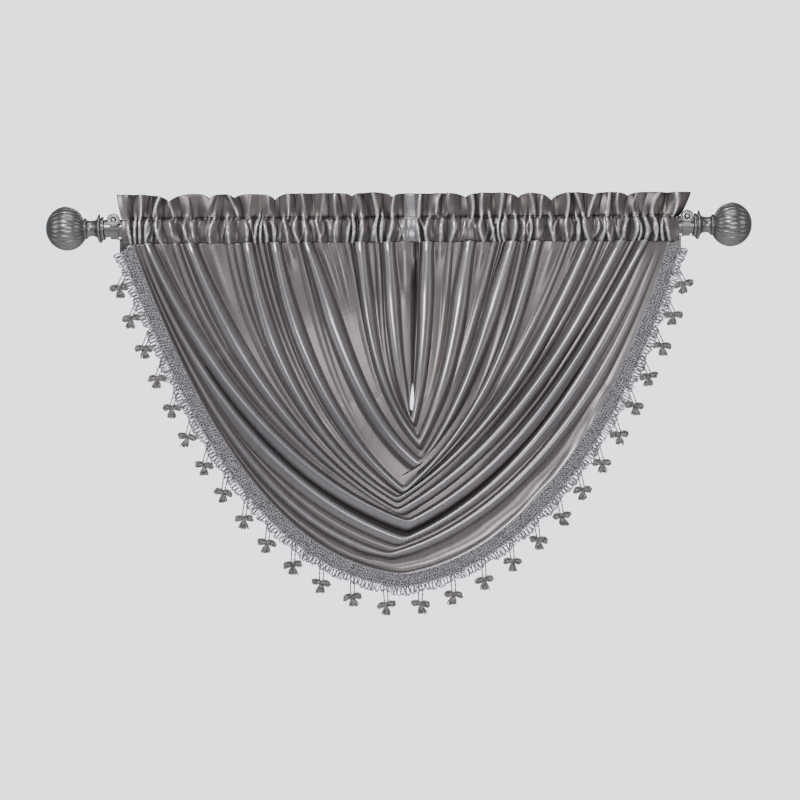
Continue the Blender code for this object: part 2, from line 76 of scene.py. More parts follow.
def add_piece(name, points, faces, material, slot, uv=None):
    """New object on the root body, from points and lists of corner numbers, shaded smooth."""
    mesh = bpy.data.meshes.new(name)
    mesh.from_pydata(np.asarray(points, dtype=float).reshape(-1, 3).tolist(), [], [list(f) for f in faces])
    mesh.shade_smooth()
    if uv is not None:
        corners = np.empty(len(mesh.loops), dtype=np.int32)
        mesh.loops.foreach_get("vertex_index", corners)
        layer = mesh.uv_layers.new(name="cloth")
        layer.data.foreach_set("uv", uv.reshape(-1, 2)[corners].reshape(-1))
    mesh.materials.append(material)
    piece = bpy.data.objects.new(name, mesh)
    link(piece)
    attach(piece, "root")
    return piece


def place(tree, kind, sockets=None, **settings):
    """Add a shader node. A socket takes a number or a colour, or another node's output to link."""
    made = tree.nodes.new("ShaderNode" + kind)
    for name, value in settings.items():
        setattr(made, name, value)
    for name, value in (sockets or {}).items():
        socket = made.inputs[name]
        if isinstance(value, bpy.types.NodeSocket):
            tree.links.new(value, socket)
        else:
            socket.default_value = value
    return made


def new_group(name, inputs, outputs):
    """Shader node group with float and colour inputs, given as name to default value."""
    tree = bpy.data.node_groups.new(name, "ShaderNodeTree")
    for socket_name, value in inputs.items():
        kind = "NodeSocketColor" if isinstance(value, tuple) else "NodeSocketFloat"
        socket = tree.interface.new_socket(socket_name, in_out="INPUT", socket_type=kind)
        socket.default_value = value
    for socket_name, kind in outputs.items():
        tree.interface.new_socket(socket_name, in_out="OUTPUT", socket_type=kind)
    return tree, tree.nodes.new("NodeGroupInput").outputs, tree.nodes.new("NodeGroupOutput").inputs


def new_material(name, **constants):
    """Material whose Principled shader has the given constants, such as Metallic=1.0."""
    material = bpy.data.materials.new(name)
    material.use_nodes = True
    shader = material.node_tree.nodes["Principled BSDF"]
    for socket_name, value in constants.items():
        shader.inputs[socket_name.replace("_", " ")].default_value = value
    return material, material.node_tree, shader


def mix_colours(tree, factor, first, second):
    """Colour that goes from the first to the second as the factor goes from 0 to 1."""
    return place(tree, "Mix", {0: factor, 6: first, 7: second}, data_type="RGBA").outputs[2]


def use_group(tree, group, sockets):
    """Place a node group with its own values, and give its outputs."""
    made = tree.nodes.new("ShaderNodeGroup")
    made.node_tree = group
    for name, value in sockets.items():
        made.inputs[name].default_value = value
    return made.outputs


# Plating wear: cloudy darker and lighter areas, and a fine brushed grain round the rod's axis.
plating, plating_in, plating_out = new_group(
    "plating_wear",
    {"Light": (0.5, 0.5, 0.5, 1.0), "Dark": (0.2, 0.2, 0.2, 1.0), "Smooth": 0.25, "Rough": 0.4},
    {"Color": "NodeSocketColor", "Roughness": "NodeSocketFloat", "Height": "NodeSocketFloat"},
)
where = place(plating, "TexCoord").outputs["Object"]
clouds = place(plating, "TexNoise", {"Vector": where, "Scale": 90.0, "Detail": 5.0, "Roughness": 0.6})
stretched = place(plating, "Mapping", {"Vector": where, "Scale": (2600.0, 260.0, 260.0)})
grain = place(plating, "TexNoise", {"Vector": stretched.outputs[0], "Scale": 1.0, "Detail": 2.0})
mixed = mix_colours(plating, clouds.outputs["Fac"], plating_in["Dark"], plating_in["Light"])
spread = place(
    plating, "MapRange",
    {"Value": grain.outputs["Fac"], "To Min": plating_in["Smooth"], "To Max": plating_in["Rough"]},
)
plating.links.new(mixed, plating_out["Color"])
plating.links.new(spread.outputs[0], plating_out["Roughness"])
plating.links.new(grain.outputs["Fac"], plating_out["Height"])


def plated_metal(name, light, dark, smooth, rough, metallic):
    """Metal between two colours and between two roughnesses, with a very fine grain."""
    material, tree, shader = new_material(name, Metallic=metallic)
    finish = use_group(tree, plating, {"Light": light, "Dark": dark, "Smooth": smooth, "Rough": rough})
    tree.links.new(finish["Color"], shader.inputs["Base Color"])
    tree.links.new(finish["Roughness"], shader.inputs["Roughness"])
    bump = place(tree, "Bump", {"Height": finish["Height"], "Strength": 0.3, "Distance": GRAIN_DEPTH})
    tree.links.new(bump.outputs[0], shader.inputs["Normal"])
    return material


pewter = plated_metal("pewter_plate", (0.32, 0.315, 0.307, 1.0), (0.245, 0.24, 0.233, 1.0), 0.28, 0.33, 0.95)


def turned(profile, sides, flute=None):
    """Points of a shape turned about the X axis from (x, radius) rows, and its quads."""
    angle = np.linspace(0.0, 2 * np.pi, sides, endpoint=False)
    x, radius = np.asarray(profile).T[:, :, None] * np.ones(sides)
    if flute is not None:
        radius = flute(x, radius, angle)
    points = np.stack([x, radius * np.cos(angle), radius * np.sin(angle)], axis=-1)
    return points, grid_faces(len(x), sides, wrap=True)


inner_radius = ROD_RADIUS - TUBE_WALL
tube_profile = [
    (-ROD_END, inner_radius), (-ROD_END, ROD_RADIUS), (ROD_END, ROD_RADIUS), (ROD_END, inner_radius),
    (-ROD_END, inner_radius),
]
tube_points, tube_faces = turned(tube_profile, TUBE_SIDES)
tube_points[:, :, 1] += ROD_Y
# The last row of points is the first one again, so its faces take the first row's points.
tube_points = tube_points[:-1]
tube_faces = tube_faces[:, ::-1] % (len(tube_points) * TUBE_SIDES)
rod = add_piece("steel_tube", tube_points, tube_faces, pewter, "rod_metal")
rod.data.set_sharp_from_angle(angle=math.radians(35))
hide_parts("rod")

# Ball finials
# Each is a cast ball, a little flattened from end to end, with rounded ribs between narrow grooves
# from pole to pole. It is on a turned neck and a stepped collar that covers the rod's end.
BALL_RADIUS = 35.2 * MM
BALL_CENTRE = 61.6 * MM
BALL_FLATTENING = 0.94
RIBS = 22
RIB_DEPTH = 1.25 * MM
RIB_FULLNESS = 0.32
RIBS_BEGIN = 0.85 * BALL_RADIUS
RIBS_GROW_OVER = 0.10 * BALL_RADIUS
SEAT_RADIUS = 16.6 * MM
BALL_STEPS = 72
POLE_OPENING = 0.004
POINTS_PER_RIB = 12
COLLAR_PROFILE = (
    # distance out from the rod's end, radius
    (-22.0, 0.01), (-22.0, 12.0), (-21.5, 12.3), (0.6, 12.3), (0.6, 17.9), (1.1, 18.6), (2.0, 18.9),
    (3.6, 18.9), (4.4, 18.5), (4.8, 18.6), (5.4, 20.6), (6.2, 22.4), (7.2, 23.3), (8.4, 23.4), (9.6, 22.8),
    (10.6, 21.2), (11.4, 18.8), (12.4, 16.6), (14.0, 14.6), (16.0, 13.3), (18.5, 12.7), (21.5, 12.5),
    (24.0, 12.6), (26.0, 13.1), (27.6, 14.0), (28.6, 15.6), (29.4, 16.8), (30.4, 17.3), (31.4, 16.9),
    (31.8, 16.6),
)


def ribbed(x, radius, angle):
    """Radius with grooves cut between the ribs, on the ball only."""
    on_ball = np.clip((x - BALL_CENTRE + RIBS_BEGIN) / RIBS_GROW_OVER, 0.0, 1.0)
    lobe = np.abs(np.cos(0.5 * RIBS * angle)) ** RIB_FULLNESS
    return radius - on_ball * RIB_DEPTH * (radius / BALL_RADIUS) * (1.0 - lobe)


seat = math.acos(SEAT_RADIUS / BALL_RADIUS)
outline = [(x * MM, radius * MM) for x, radius in COLLAR_PROFILE] + [
    (BALL_CENTRE + BALL_FLATTENING * BALL_RADIUS * math.sin(a), BALL_RADIUS * math.cos(a))
    for a in np.linspace(-seat, math.pi / 2 - POLE_OPENING, BALL_STEPS)
]
around = RIBS * POINTS_PER_RIB
last = len(outline) * around - 1
for side, outward in (("left", -1.0), ("right", 1.0)):
    points, faces = turned(outline, around, ribbed)
    points[:, :, 0] = outward * (points[:, :, 0] + ROD_END)
    points[:, :, 1] += ROD_Y
    faces = faces[:, ::-1].tolist() + [list(range(around)), [last - n for n in range(around)]]
    if outward < 0:
        faces = [face[::-1] for face in faces]
    finial = add_piece("ball_" + side, points, faces, pewter, "rod_metal")
    finial.data.set_sharp_from_angle(angle=math.radians(50))
    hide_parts("finial_" + side)

# Wall brackets and their screws
# A bent steel bracket on each side: a plate on the wall, an arm and an open cradle under the rod,
# kept from slipping by a knurled thumb screw through the cradle's front.
steel = plated_metal("bright_screw", (0.92, 0.92, 0.92, 1.0), (0.8, 0.8, 0.8, 1.0), 0.22, 0.34, 1.0)
SCREW_PROFILE = (
    # distance behind the front of the head, radius
    (0.9, 0.02), (1.0, 0.9), (1.4, 1.9), (2.2, 2.6), (2.9, 3.3), (2.8, 4.0), (1.4, 5.0), (0.3, 5.8),
    (0.0, 6.4), (0.2, 7.0), (0.9, 7.5), (1.0, 8.0), (0.9, 9.6), (1.4, 10.3), (2.9, 10.3), (3.1, 10.5),
    (4.2, 10.4), (4.3, 2.4), (11.4, 2.4), (11.5, 0.02),
)
DISH = (2.0 * MM, 4.6 * MM)
FLANGE = 3.0 * MM
SCREW_KNURLS = 18
KNURL_DEPTH = 2.2 * MM
KNURLS_BEGIN = 7.2 * MM
KNURLS_GROW_OVER = 0.8 * MM
POINTS_PER_KNURL = 6


def notches(x, radius, angle):
    """Notches in the head's rim, in front of its flange, which is painted dark as shade: 0 between them, 1 in
    one.
    """
    at_rim = np.clip((radius - KNURLS_BEGIN) / KNURLS_GROW_OVER, 0.0, 1.0) * (x < FLANGE)
    return at_rim * (0.5 - 0.5 * np.cos(SCREW_KNURLS * angle)) ** 1.5


def knurled(x, radius, angle):
    """Radius of the head with its notches cut in."""
    return radius - KNURL_DEPTH * notches(x, radius, angle)


# Painted shade: the notches, the dish round the screw's middle and the flange are coloured nearly black, as
# the shade that falls in them.
steel_tree = steel.node_tree
steel_shader = steel_tree.nodes["Principled BSDF"]
painted_shade = place(steel_tree, "Attribute", attribute_name="painted_shade").outputs["Fac"]
plate_color = steel_shader.inputs["Base Color"].links[0].from_socket
shaded_plate = mix_colours(steel_tree, painted_shade, plate_color, (0.02, 0.02, 0.021, 1.0))
steel_tree.links.new(shaded_plate, steel_shader.inputs["Base Color"])


def mark_points(piece, name, values):
    """Keep a number for each point of a piece, for its material to read."""
    mark = piece.data.attributes.new(name, "FLOAT", "POINT")
    mark.data.foreach_set("value", np.ravel(values))


outline = [(x * MM, radius * MM) for x, radius in SCREW_PROFILE]
around = SCREW_KNURLS * POINTS_PER_KNURL
for side in ("left", "right"):
    bpy.data.objects["bracket_" + side].material_slots[0].material = pewter
    low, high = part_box("screw_" + side)
    points, faces = turned(outline, around, knurled)
    axis_x, axis_z = (low[0] + high[0]) / 2, (low[2] + high[2]) / 2
    points = np.stack([axis_x + points[:, :, 1], low[1] + points[:, :, 0], axis_z + points[:, :, 2]], axis=-1)
    screw = add_piece("thumb_screw_" + side, points, faces[:, ::-1], steel, "screw_metal")
    rim_angle = np.linspace(0.0, 2 * np.pi, around, endpoint=False)
    row_x, row_radius = np.array(outline).T[:, :, None]
    in_dish = (row_radius > DISH[0]) & (row_radius < DISH[1])
    dark_rows = in_dish | (row_x > FLANGE)
    # Painted shade: nearly black in the notches, in the dish and on the flange.
    shade_marks = np.clip(1.6 * notches(row_x, row_radius, rim_angle) + 0.9 * dark_rows, 0.0, 1.0)
    mark_points(screw, "painted_shade", shade_marks)
    screw.data.set_sharp_from_angle(angle=math.radians(40))
    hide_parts("screw_" + side)

# Swag
# The body of the valance is one gathered piece of satin, cut open down its middle and caught up at
# the foot of the slit, so that its folds hang in nested curves from the pocket's lower seam.
SEAM_Z = -25.0 * MM
SEAM_Y = ROD_Y - 12.0 * MM
BELLY = 42.0 * MM
SEAM_STEP = 8.0 * MM
HEM_BELLY = 0.62
SLIT_BELLY = 0.6
BOTTOM_ROUNDING = 0.013
CLOTH_THICKNESS = 0.8 * MM
SLIT = {
    "top_x": 27.0, "bottom_x": 19.0, "bottom_z": -294.0, "sewn_to_z": -95.0, "half_gap": -0.6,
    "drop_z": -270.0, "drop_half_height": 24.0, "drop_half_width": 6.4,
}
FOLD_COLUMNS = (
    "left_x", "left_lean", "left_run", "bottom_x", "bottom_z", "right_run", "right_lean", "right_x",
    "seam_relief", "bottom_relief", "half_width", "tuck", "roundness",
)
FOLDS = (
    (-18, 4, 73, 17, -308, 78, 2, 45, 8, 14, 14, 0.5, 0.85),
    (-35, 6, 52, 24, -322, 62, 6, 82, 4, -1, 8, 0.1, 3.0),
    (-62, 4, 48, 30, -344, 64, 10, 112, 9, 17, 15, 0.5, 0.85),
    (-83, 13, 44, 31, -358, 58, 14, 152, 4, -1, 9, 0.1, 3.0),
    (-149, 21, 38, 31, -378, 52, 17, 181, 9, 18, 16, 0.6, 0.85),
    (-160, 12, 44, -2, -400, 24, 12, 198, 3, -1, 9, 0.1, 3.0),
    (-198, 9, 38, 7, -420, 42, 13, 219, 9, 16, 14, 0.6, 0.85),
    (-220, 10, 34, 0, -427, 36, 20, 269, 4, -1, 8, 0.1, 3.0),
    (-242, 9, 28, -6, -433, 30, 23, 302, 9, 15, 14, 0.5, 0.85),
    (-270, 8, 30, -4, -442, 32, 22, 322, 5, -1, 10, 0.0, 3.0),
    (-334, 20, 29, -5, -454, 28, 27, 354, 9, 15, 15, 0.6, 0.85),
    (-357, 15, 26, 6, -462, 27, 27, 374, 5, -1, 11, 0.0, 3.0),
    (-403, 23, 18, 14, -470, 26, 29, 392, 9, 15, 16, 0.6, 0.85),
    (-413, 18, 19, 6, -498, 22, 24, 408, -1, 10, 17, 0.2, 1.3),
    (-420, 20, 14, -22, -522, 14, 20, 421, -1, 7, 14, 0.0, 1.7),
    (-426, 20, 5, 3, -553, 8, 16, 430, -1, 4, 16, 0.0, 2.2),
)
RIDGE_STEPS = 5
PLEAT_PITCH = 31.0 * MM
ROWS_PER_PLEAT = 6
RIDGE_SHARE = 0.94
OVERLAP = 0.8
SEAM_PINCH = 0.8
PINCH_DEPTH = 18.0 * MM
SEAM_NARROWING = 0.75
SEAM_SOFTENING = 0.8
SEAM_LIGHT_LENGTH = 120.0 * MM
FULL_RIDGE_RELIEF = 8.0
VALLEY = 1.2 * MM
EDGE_TURNED_BACK = 6.0 * MM
PLEAT_HEIGHT = (4.0, 8.5)
PLEAT_LENGTH = (25.0, 80.0)
HALF_COLUMNS = 100
CRUMPLES = (
    # x, z, length, slope, width, height, bend: soft creases above the hem, raised or sunk
    (-30, -527, 130, -2, 6, -3.0, 10),
    (-45, -518, 90, -9, 5, 2.2, 6),
    (98, -508, 90, 22, 6, -2.6, -8),
    (122, -492, 70, 27, 6, 2.0, 4),
    (160, -462, 70, 32, 6, -2.4, 6),
    (203, -430, 80, 40, 7, 2.0, 8),
    (255, -372, 90, 50, 7, -2.2, 8),
    (312, -284, 60, 62, 7, 3.2, 8),
    (-150, -478, 110, -31, 7, -2.0, 10),
    (-262, -370, 130, -50, 8, -1.8, 10),
)
HEM_UNDER_BRAID = 11.0 * MM
HEM_ROWS = 3
COLUMNS_DRAWN_OUT = 0.06
RIPPLE = 0.9 * MM
MID_LEG_GAIN = 0.25
NARROW_TO = 0.35
SOFT_TO = 0.4
SLIT_HALF_WIDTH = 6.0 * MM
RIGHT_EDGE_BEHIND = 1.5 * MM

folds = [dict(zip(FOLD_COLUMNS, row)) for row in FOLDS]
places = np.linspace(-1.0, 1.0, 2 * HALF_COLUMNS + 1)
places = places - COLUMNS_DRAWN_OUT * np.sin(2 * np.pi * places)
reach = 1.0 - np.abs(places)
rising = (places > 0.0).astype(float)


def ease(x):
    """Smooth rise from 0 to 1."""
    return 0.5 - 0.5 * np.cos(np.pi * np.clip(x, 0.0, 1.0))


def fold_leg(fold, t, key):
    """One leg of a crest as (x, z): t is 0 at the seam and 1 at the bottom."""
    inward = 1.0 if key == "left" else -1.0
    start = np.array([fold[key + "_x"] * MM, SEAM_Z])
    end = np.array([fold["bottom_x"], fold["bottom_z"]]) * MM
    handle = np.linalg.norm(end - start) / 3.0
    lean, run = (math.radians(fold[key + word]) for word in ("_lean", "_run"))
    first = start + handle * np.array([inward * math.sin(lean), -math.cos(lean)])
    last = end - handle * np.array([inward * math.cos(run), -math.sin(run)])
    t = np.asarray(t)[..., None]
    u = 1.0 - t
    return start * u**3 + first * 3 * u * u * t + last * 3 * u * t * t + end * t**3


def crest_line(fold, t, right):
    """Whole crest as (x, z), with the foot of its curve rounded where the legs meet."""
    legs = np.where(right[:, None] > 0.5, fold_leg(fold, t, "right"), fold_leg(fold, t, "left"))
    turn = 1.0 - BOTTOM_ROUNDING
    left_end = fold_leg(fold, turn, "left")
    right_end = fold_leg(fold, turn, "right")
    corner = fold_leg(fold, 1.0, "left")
    signed = np.where(right > 0.5, 1.0 - t, t - 1.0)
    k = np.clip(0.5 + 0.5 * signed / BOTTOM_ROUNDING, 0.0, 1.0)[:, None]
    foot = left_end * (1 - k) ** 2 + corner * 2 * k * (1 - k) + right_end * k * k
    return np.where((t > turn)[:, None], foot, legs)


def slit_line(t, right):
    """Edge of the slit as (x, z): sewn shut above, then edges that just lap, then a drop-shaped hole."""
    z = SEAM_Z + (SLIT["bottom_z"] * MM - SEAM_Z) * t
    x = SLIT["top_x"] * MM + (SLIT["bottom_x"] - SLIT["top_x"]) * MM * t
    from_drop = (z / MM - SLIT["drop_z"]) / SLIT["drop_half_height"]
    drop = np.clip(1.0 - from_drop**2, 0.0, 1.0)
    narrow = SLIT["half_gap"] * np.where(from_drop > 0.0, 1.0, drop)
    opened = ease((SLIT["sewn_to_z"] - z / MM) / 16.0)
    fuller_below = 0.55 - 0.45 * np.clip(from_drop, -1.0, 1.0)
    gap = (narrow + SLIT["drop_half_width"] * np.sqrt(drop) * fuller_below) * opened * MM
    return np.stack([x + np.where(right > 0.5, gap, -gap), z], axis=-1)


def smooth_noise(x, y, seed):
    """Gentle unevenness, about -1 to 1, from a few waves of odd directions."""
    random = np.random.default_rng(seed)
    total = 0.0
    for _ in range(5):
        turn, phase, pace = random.uniform(0, 2 * np.pi, 2).tolist() + [random.uniform(0.7, 1.6)]
        total = total + np.sin(pace * (x * math.cos(turn) + y * math.sin(turn)) + phase)
    return total / 2.6


lines = [slit_line(reach, rising)] + [crest_line(fold, reach, rising) for fold in folds]
turned_back = EDGE_TURNED_BACK + RIGHT_EDGE_BEHIND * rising
reliefs = [-turned_back * np.sqrt(1.0 - reach) * ease(3.0 * reach)] + [
    (fold["bottom_relief"] + (fold["seam_relief"] - fold["bottom_relief"]) * (1.0 - reach) ** 2)
    * MM * (1.0 + MID_LEG_GAIN * np.sin(np.pi * reach))
    for fold in folds
]
tucks = [0.0] + [fold["tuck"] for fold in folds]
roundness = [1.5] + [fold["roundness"] for fold in folds]
half_widths = [SLIT_HALF_WIDTH] + [fold["half_width"] * MM for fold in folds]
bottom_shares = [0.5] + [np.clip(fold["bottom_relief"] / FULL_RIDGE_RELIEF, 0.4, 1.0) for fold in folds]
# The slit's turned-back edges are marked with painted shade as dark as a tuck's, and each crest with a
# painted highlight as pale as it is high.
strengths = [-0.8 * np.sqrt(1.0 - reach)] + [
    np.clip((relief + VALLEY) / (FULL_RIDGE_RELIEF * MM), 0.0, 1.0) for relief in reliefs[1:]
]


def fold_side(number, softer):
    """Half a fold's section from crest to foot: the share of its width, its height and its mark of painted
    light.
    """
    side = []
    for step in range(RIDGE_STEPS + 1):
        turn = 0.5 * math.pi * step / RIDGE_STEPS
        height = (reliefs[number] + VALLEY) * math.cos(turn) ** (roundness[number] + softer) - VALLEY
        side.append((math.sin(turn), height, strengths[number] * (1.0 - math.sin(turn))))
    return side


swag_rows = []
pleat_random = np.random.default_rng(7)
seam_peaks = [x for line in lines[1:] for x in (line[0, 0], line[-1, 0])]
for n in range(len(folds)):
    apart = np.linalg.norm(lines[n + 1] - lines[n], axis=1) + 1e-6
    weight = 1.0 + OVERLAP * reach**2
    fuller = SEAM_NARROWING + (1.0 - SEAM_NARROWING) * ease(reach / NARROW_TO)
    width, next_width = (
        half_widths[m] * fuller * (1.0 - (1.0 - bottom_shares[m]) * reach**1.5) for m in (n, n + 1)
    )
    wanted, next_wanted = width * weight, next_width / weight
    shrink = np.minimum(1.0, RIDGE_SHARE * apart / (wanted + next_wanted))
    here = np.minimum(width, wanted * shrink) / apart
    across = np.minimum(next_width, next_wanted * shrink) / apart
    softer = SEAM_SOFTENING * (1.0 - ease(reach / SOFT_TO))
    shares = [(here * wide, height, crest) for wide, height, crest in fold_side(n, softer)]
    folded_under = here * (1.0 - tucks[n] * reach**2)
    open_width = (apart * (1.0 - here - across))[[0, -1]]
    pleat_count = round(max(open_width) / PLEAT_PITCH)
    pleat_heights = pleat_random.uniform(*PLEAT_HEIGHT, pleat_count + 1)
    pleat_lengths = pleat_random.uniform(*PLEAT_LENGTH, pleat_count + 1) * MM
    valley_steps = max(1, ROWS_PER_PLEAT * pleat_count - 1)
    for step in range(1, valley_steps + 1):
        part = step / (valley_steps + 1)
        pleat = int(part * pleat_count)
        fade = np.exp(-(((SEAM_Z - lines[n][:, 1]) / pleat_lengths[pleat]) ** 2))
        standing = pleat_heights[pleat] * MM * math.sin(math.pi * part * pleat_count) ** 2 * fade
        share = folded_under + (1.0 - across - folded_under) * part
        shares.append((share, standing - VALLEY + 0 * reach, 0.5 * fade))
        if pleat_count and step % ROWS_PER_PLEAT == ROWS_PER_PLEAT // 2:
            middle = lines[n] + (lines[n + 1] - lines[n]) * shares[-1][0][:, None]
            seam_peaks.extend([middle[0, 0], middle[-1, 0]])
    shares += [
        (1.0 - across * wide, height, crest) for wide, height, crest in fold_side(n + 1, softer)[:0:-1]
    ]
    for share, height, crest in shares:
        way = lines[n] + (lines[n + 1] - lines[n]) * share[:, None]
        swag_rows.append((way, height, (n + share) / len(folds), crest + 0 * reach))
swag_rows.append((lines[-1], reliefs[-1], 1.0 + 0 * reach, 1.0 + 0 * reach))
flat, relief, out, crests = (np.array([row[n] for row in swag_rows]) for n in range(4))

# The belly: how far the whole cloth stands forward, from the slit out to the hem.
swell = np.minimum(1.0, SLIT_BELLY + (1 - SLIT_BELLY) * np.sin(np.pi * np.minimum(1.0, out * 1.1)))
swell = np.where(out < 0.5, swell, HEM_BELLY + (1 - HEM_BELLY) * (1.0 - ease(2 * out - 1)))
ripples = RIPPLE * smooth_noise(out * 40.0, places[None, :] * 7.0, 3) * ease(reach * 3.0)
below_seam = SEAM_Z - flat[:, :, 1]
crumpled = 0.0 * reach
for x, z, length, slope, width, depth, bend in CRUMPLES:
    slope = math.radians(slope)
    away_x, away_z = flat[:, :, 0] / MM - x, flat[:, :, 1] / MM - z
    along = away_x * math.cos(slope) + away_z * math.sin(slope)
    beside = away_z * math.cos(slope) - away_x * math.sin(slope) + bend * (along / length) ** 2
    crumpled = crumpled + depth * MM * np.exp(-((beside / width) ** 2) - (2.0 * along / length) ** 4)
relief *= SEAM_PINCH + (1.0 - SEAM_PINCH) * ease(below_seam / PINCH_DEPTH)
forward = BELLY * swell * ease(reach) - SEAM_STEP * ease(reach * 3.0) + relief + ripples + crumpled
swag = np.stack([flat[:, :, 0], SEAM_Y - forward, flat[:, :, 1]], axis=-1)

# Unit lengths out of the hem, in the cloth's plane, for each of its points.
hem = swag[-1]
along_hem = np.gradient(hem[:, [0, 2]], axis=0)
along_hem /= np.linalg.norm(along_hem, axis=1)[:, None]
hem_out = np.stack([along_hem[:, 1], 0.0 * along_hem[:, 0], -along_hem[:, 0]], axis=-1)
under = [hem + hem_out * HEM_UNDER_BRAID * (n + 1) / HEM_ROWS for n in range(HEM_ROWS)]
swag = np.concatenate([swag, np.array(under)])
swag[:, :, 2] = np.minimum(swag[:, :, 2], SEAM_Z + 2 * MM)


def measured_uv(points):
    """Cloth coordinates in metres: distance along each row, and distance across the rows."""
    along = np.linalg.norm(np.diff(points, axis=1), axis=2)
    across = np.linalg.norm(np.diff(points, axis=0), axis=2)
    u = np.concatenate([np.zeros((points.shape[0], 1)), np.cumsum(along, axis=1)], axis=1)
    v = np.concatenate([np.zeros((1, points.shape[1])), np.cumsum(across, axis=0)], axis=0)
    return np.stack([u - u[:, -1:] / 2, v], axis=-1)


# The satin's threads: fine slubs across the folds. Light and shade are painted into the colour from a mark on
# each point. A fold's crest, marked 1, is cool and paler, a painted highlight, and a valley, marked 0, is
# warm and darker, painted shade. It is nearly black at -1, painted shade in a tuck, and pale at 2, a painted
# highlight on a crease.
COOL_TONES = ((0.28, 0.267, 0.285, 1.0), (0.35, 0.336, 0.36, 1.0))
WARM_TONES = ((0.195, 0.173, 0.172, 1.0), (0.25, 0.225, 0.222, 1.0))
SHADE_TONE = (0.045, 0.037, 0.037, 1.0)
HIGHLIGHT_TONE = (0.66, 0.65, 0.67, 1.0)
satin, tree, shader = new_material(
    "pewter_satin", Metallic=0.76, Sheen_Weight=0.1, Sheen_Roughness=0.4, Anisotropic=0.3,
)
cloth_uv = place(tree, "UVMap", uv_map="cloth").outputs[0]
slub_map = place(tree, "Mapping", {"Vector": cloth_uv, "Scale": (900.0, 30.0, 1.0)}).outputs[0]
slubs = place(tree, "TexNoise", {"Vector": slub_map, "Scale": 1.0, "Detail": 3.0, "Roughness": 0.6})
streak_map = place(tree, "Mapping", {"Vector": cloth_uv, "Scale": (430.0, 16.0, 1.0)}).outputs[0]
streaks = place(tree, "TexNoise", {"Vector": streak_map, "Scale": 1.0, "Detail": 2.0})
woven = place(
    tree, "Mix", {0: 0.5, 2: slubs.outputs["Fac"], 3: streaks.outputs["Fac"]}, data_type="FLOAT",
).outputs[0]
weave = place(tree, "MapRange", {"Value": woven, "From Min": 0.36, "From Max": 0.64}).outputs[0]
painted_light = place(tree, "Attribute", attribute_name="painted_light").outputs["Fac"]
cool = mix_colours(tree, weave, *COOL_TONES)
warm = mix_colours(tree, weave, *WARM_TONES)
# Painted highlight above 1, painted shade from 0 down to -1.
highlight_share = place(tree, "MapRange", {"Value": painted_light, "From Min": 1.0, "From Max": 2.0}).outputs[0]
lit = place(tree, "MapRange", {"Value": painted_light, "From Min": -1.0, "From Max": 0.0}).outputs[0]
open_tone = mix_colours(tree, lit, SHADE_TONE, mix_colours(tree, painted_light, warm, cool))
creased = mix_colours(tree, highlight_share, open_tone, HIGHLIGHT_TONE)
tree.links.new(creased, shader.inputs["Base Color"])
gloss = place(tree, "MapRange", {"Value": painted_light, "To Min": 0.36, "To Max": 0.28})
tree.links.new(gloss.outputs[0], shader.inputs["Roughness"])
thread_bump = place(tree, "Bump", {"Height": weave, "Strength": 0.2, "Distance": 0.1 * MM})
tree.links.new(thread_bump.outputs[0], shader.inputs["Normal"])


def thicken(piece):
    """Give an open sheet the cloth's thickness, and leave the result in the mesh."""
    solidify = piece.modifiers.new("thickness", "SOLIDIFY")
    solidify.thickness = CLOTH_THICKNESS
    solidify.offset = 0.0
    solidify.use_even_offset = False
    ready = bpy.data.meshes.new_from_object(piece.evaluated_get(bpy.context.evaluated_depsgraph_get()))
    piece.modifiers.clear()
    piece.data = ready


swag_faces = grid_faces(swag.shape[0], swag.shape[1])
swag_cloth = add_piece("swag", swag, swag_faces, satin, "satin", measured_uv(swag))
# Near the seam, a brighter painted highlight on the highest crest lines and painted shade between them.
near_seam = np.exp(-((below_seam / SEAM_LIGHT_LENGTH) ** 2))
crests = crests + near_seam * (0.75 * np.clip(crests, 0.0, 1.0) ** 8 - 0.45 * (1.0 - crests))
crests = np.concatenate([crests, np.ones((HEM_ROWS, crests.shape[1]))])
mark_points(swag_cloth, "painted_light", crests)
thicken(swag_cloth)

# Heading and rod pocket
# The top of the cloth is turned over and stitched twice, which leaves a tunnel for the rod below a
# standing ruffle. Both layers are one sheet: up the back, over the top edge and down the front.
HEADING_Z = 52.0 * MM
FRONT_STITCH_Z = 12.5 * MM
FRONT_STITCH = 14.0 * MM
CROWN_LEAN = 14.5 * MM
BACK_STITCH_Z = 17.5 * MM
LAYER_GAP = 2.4 * MM
POCKET_GAP = 1.6 * MM
PUFF = 9.0 * MM
POCKET_DEPTH = 16.2 * MM
POCKET_FOOT = 13.0 * MM
SEAM_DROP = 3.2 * MM
RUFFLE = 8.5 * MM
STITCH_PUCKER = 4.5 * MM
CREASE_HEIGHT = 0.9 * MM
# Painted light on the heading: a highlight on each crease, and painted shade in the tucks, by the stitches
# and over the whole ruffle and pocket.
CREASE_HIGHLIGHT = 3.0
TUCK_SHADE = 0.8
STITCH_SHADE = 0.5
RUFFLE_SHADE = 0.5
POCKET_SHADE = 0.25
STITCH_HALF_HEIGHT = 3.0 * MM
LEAST_SPACING = 0.01 * MM
SMOOTHED_COLUMNS = 25
NEARBY_COLUMNS = 7
POCKET_ENDS = (-0.4405, 0.4455)
END_FLARE = {"left": 11.0 * MM, "right": 20.0 * MM}
HEADING_COLUMNS = 640
PUFF_ROWS = 17
RUFFLE_ROWS = 15
HEADING_DIPS = (
    # x, depth, half width
    (-365, 12, 9), (-301, 9, 6), (-262, 7, 6), (-197, 10, 6), (-74, 6, 5), (-10, 7, 4), (106, 8, 8),
    (190, 8, 6), (243, 13, 9), (310, 5, 6), (365, 6, 7),
)
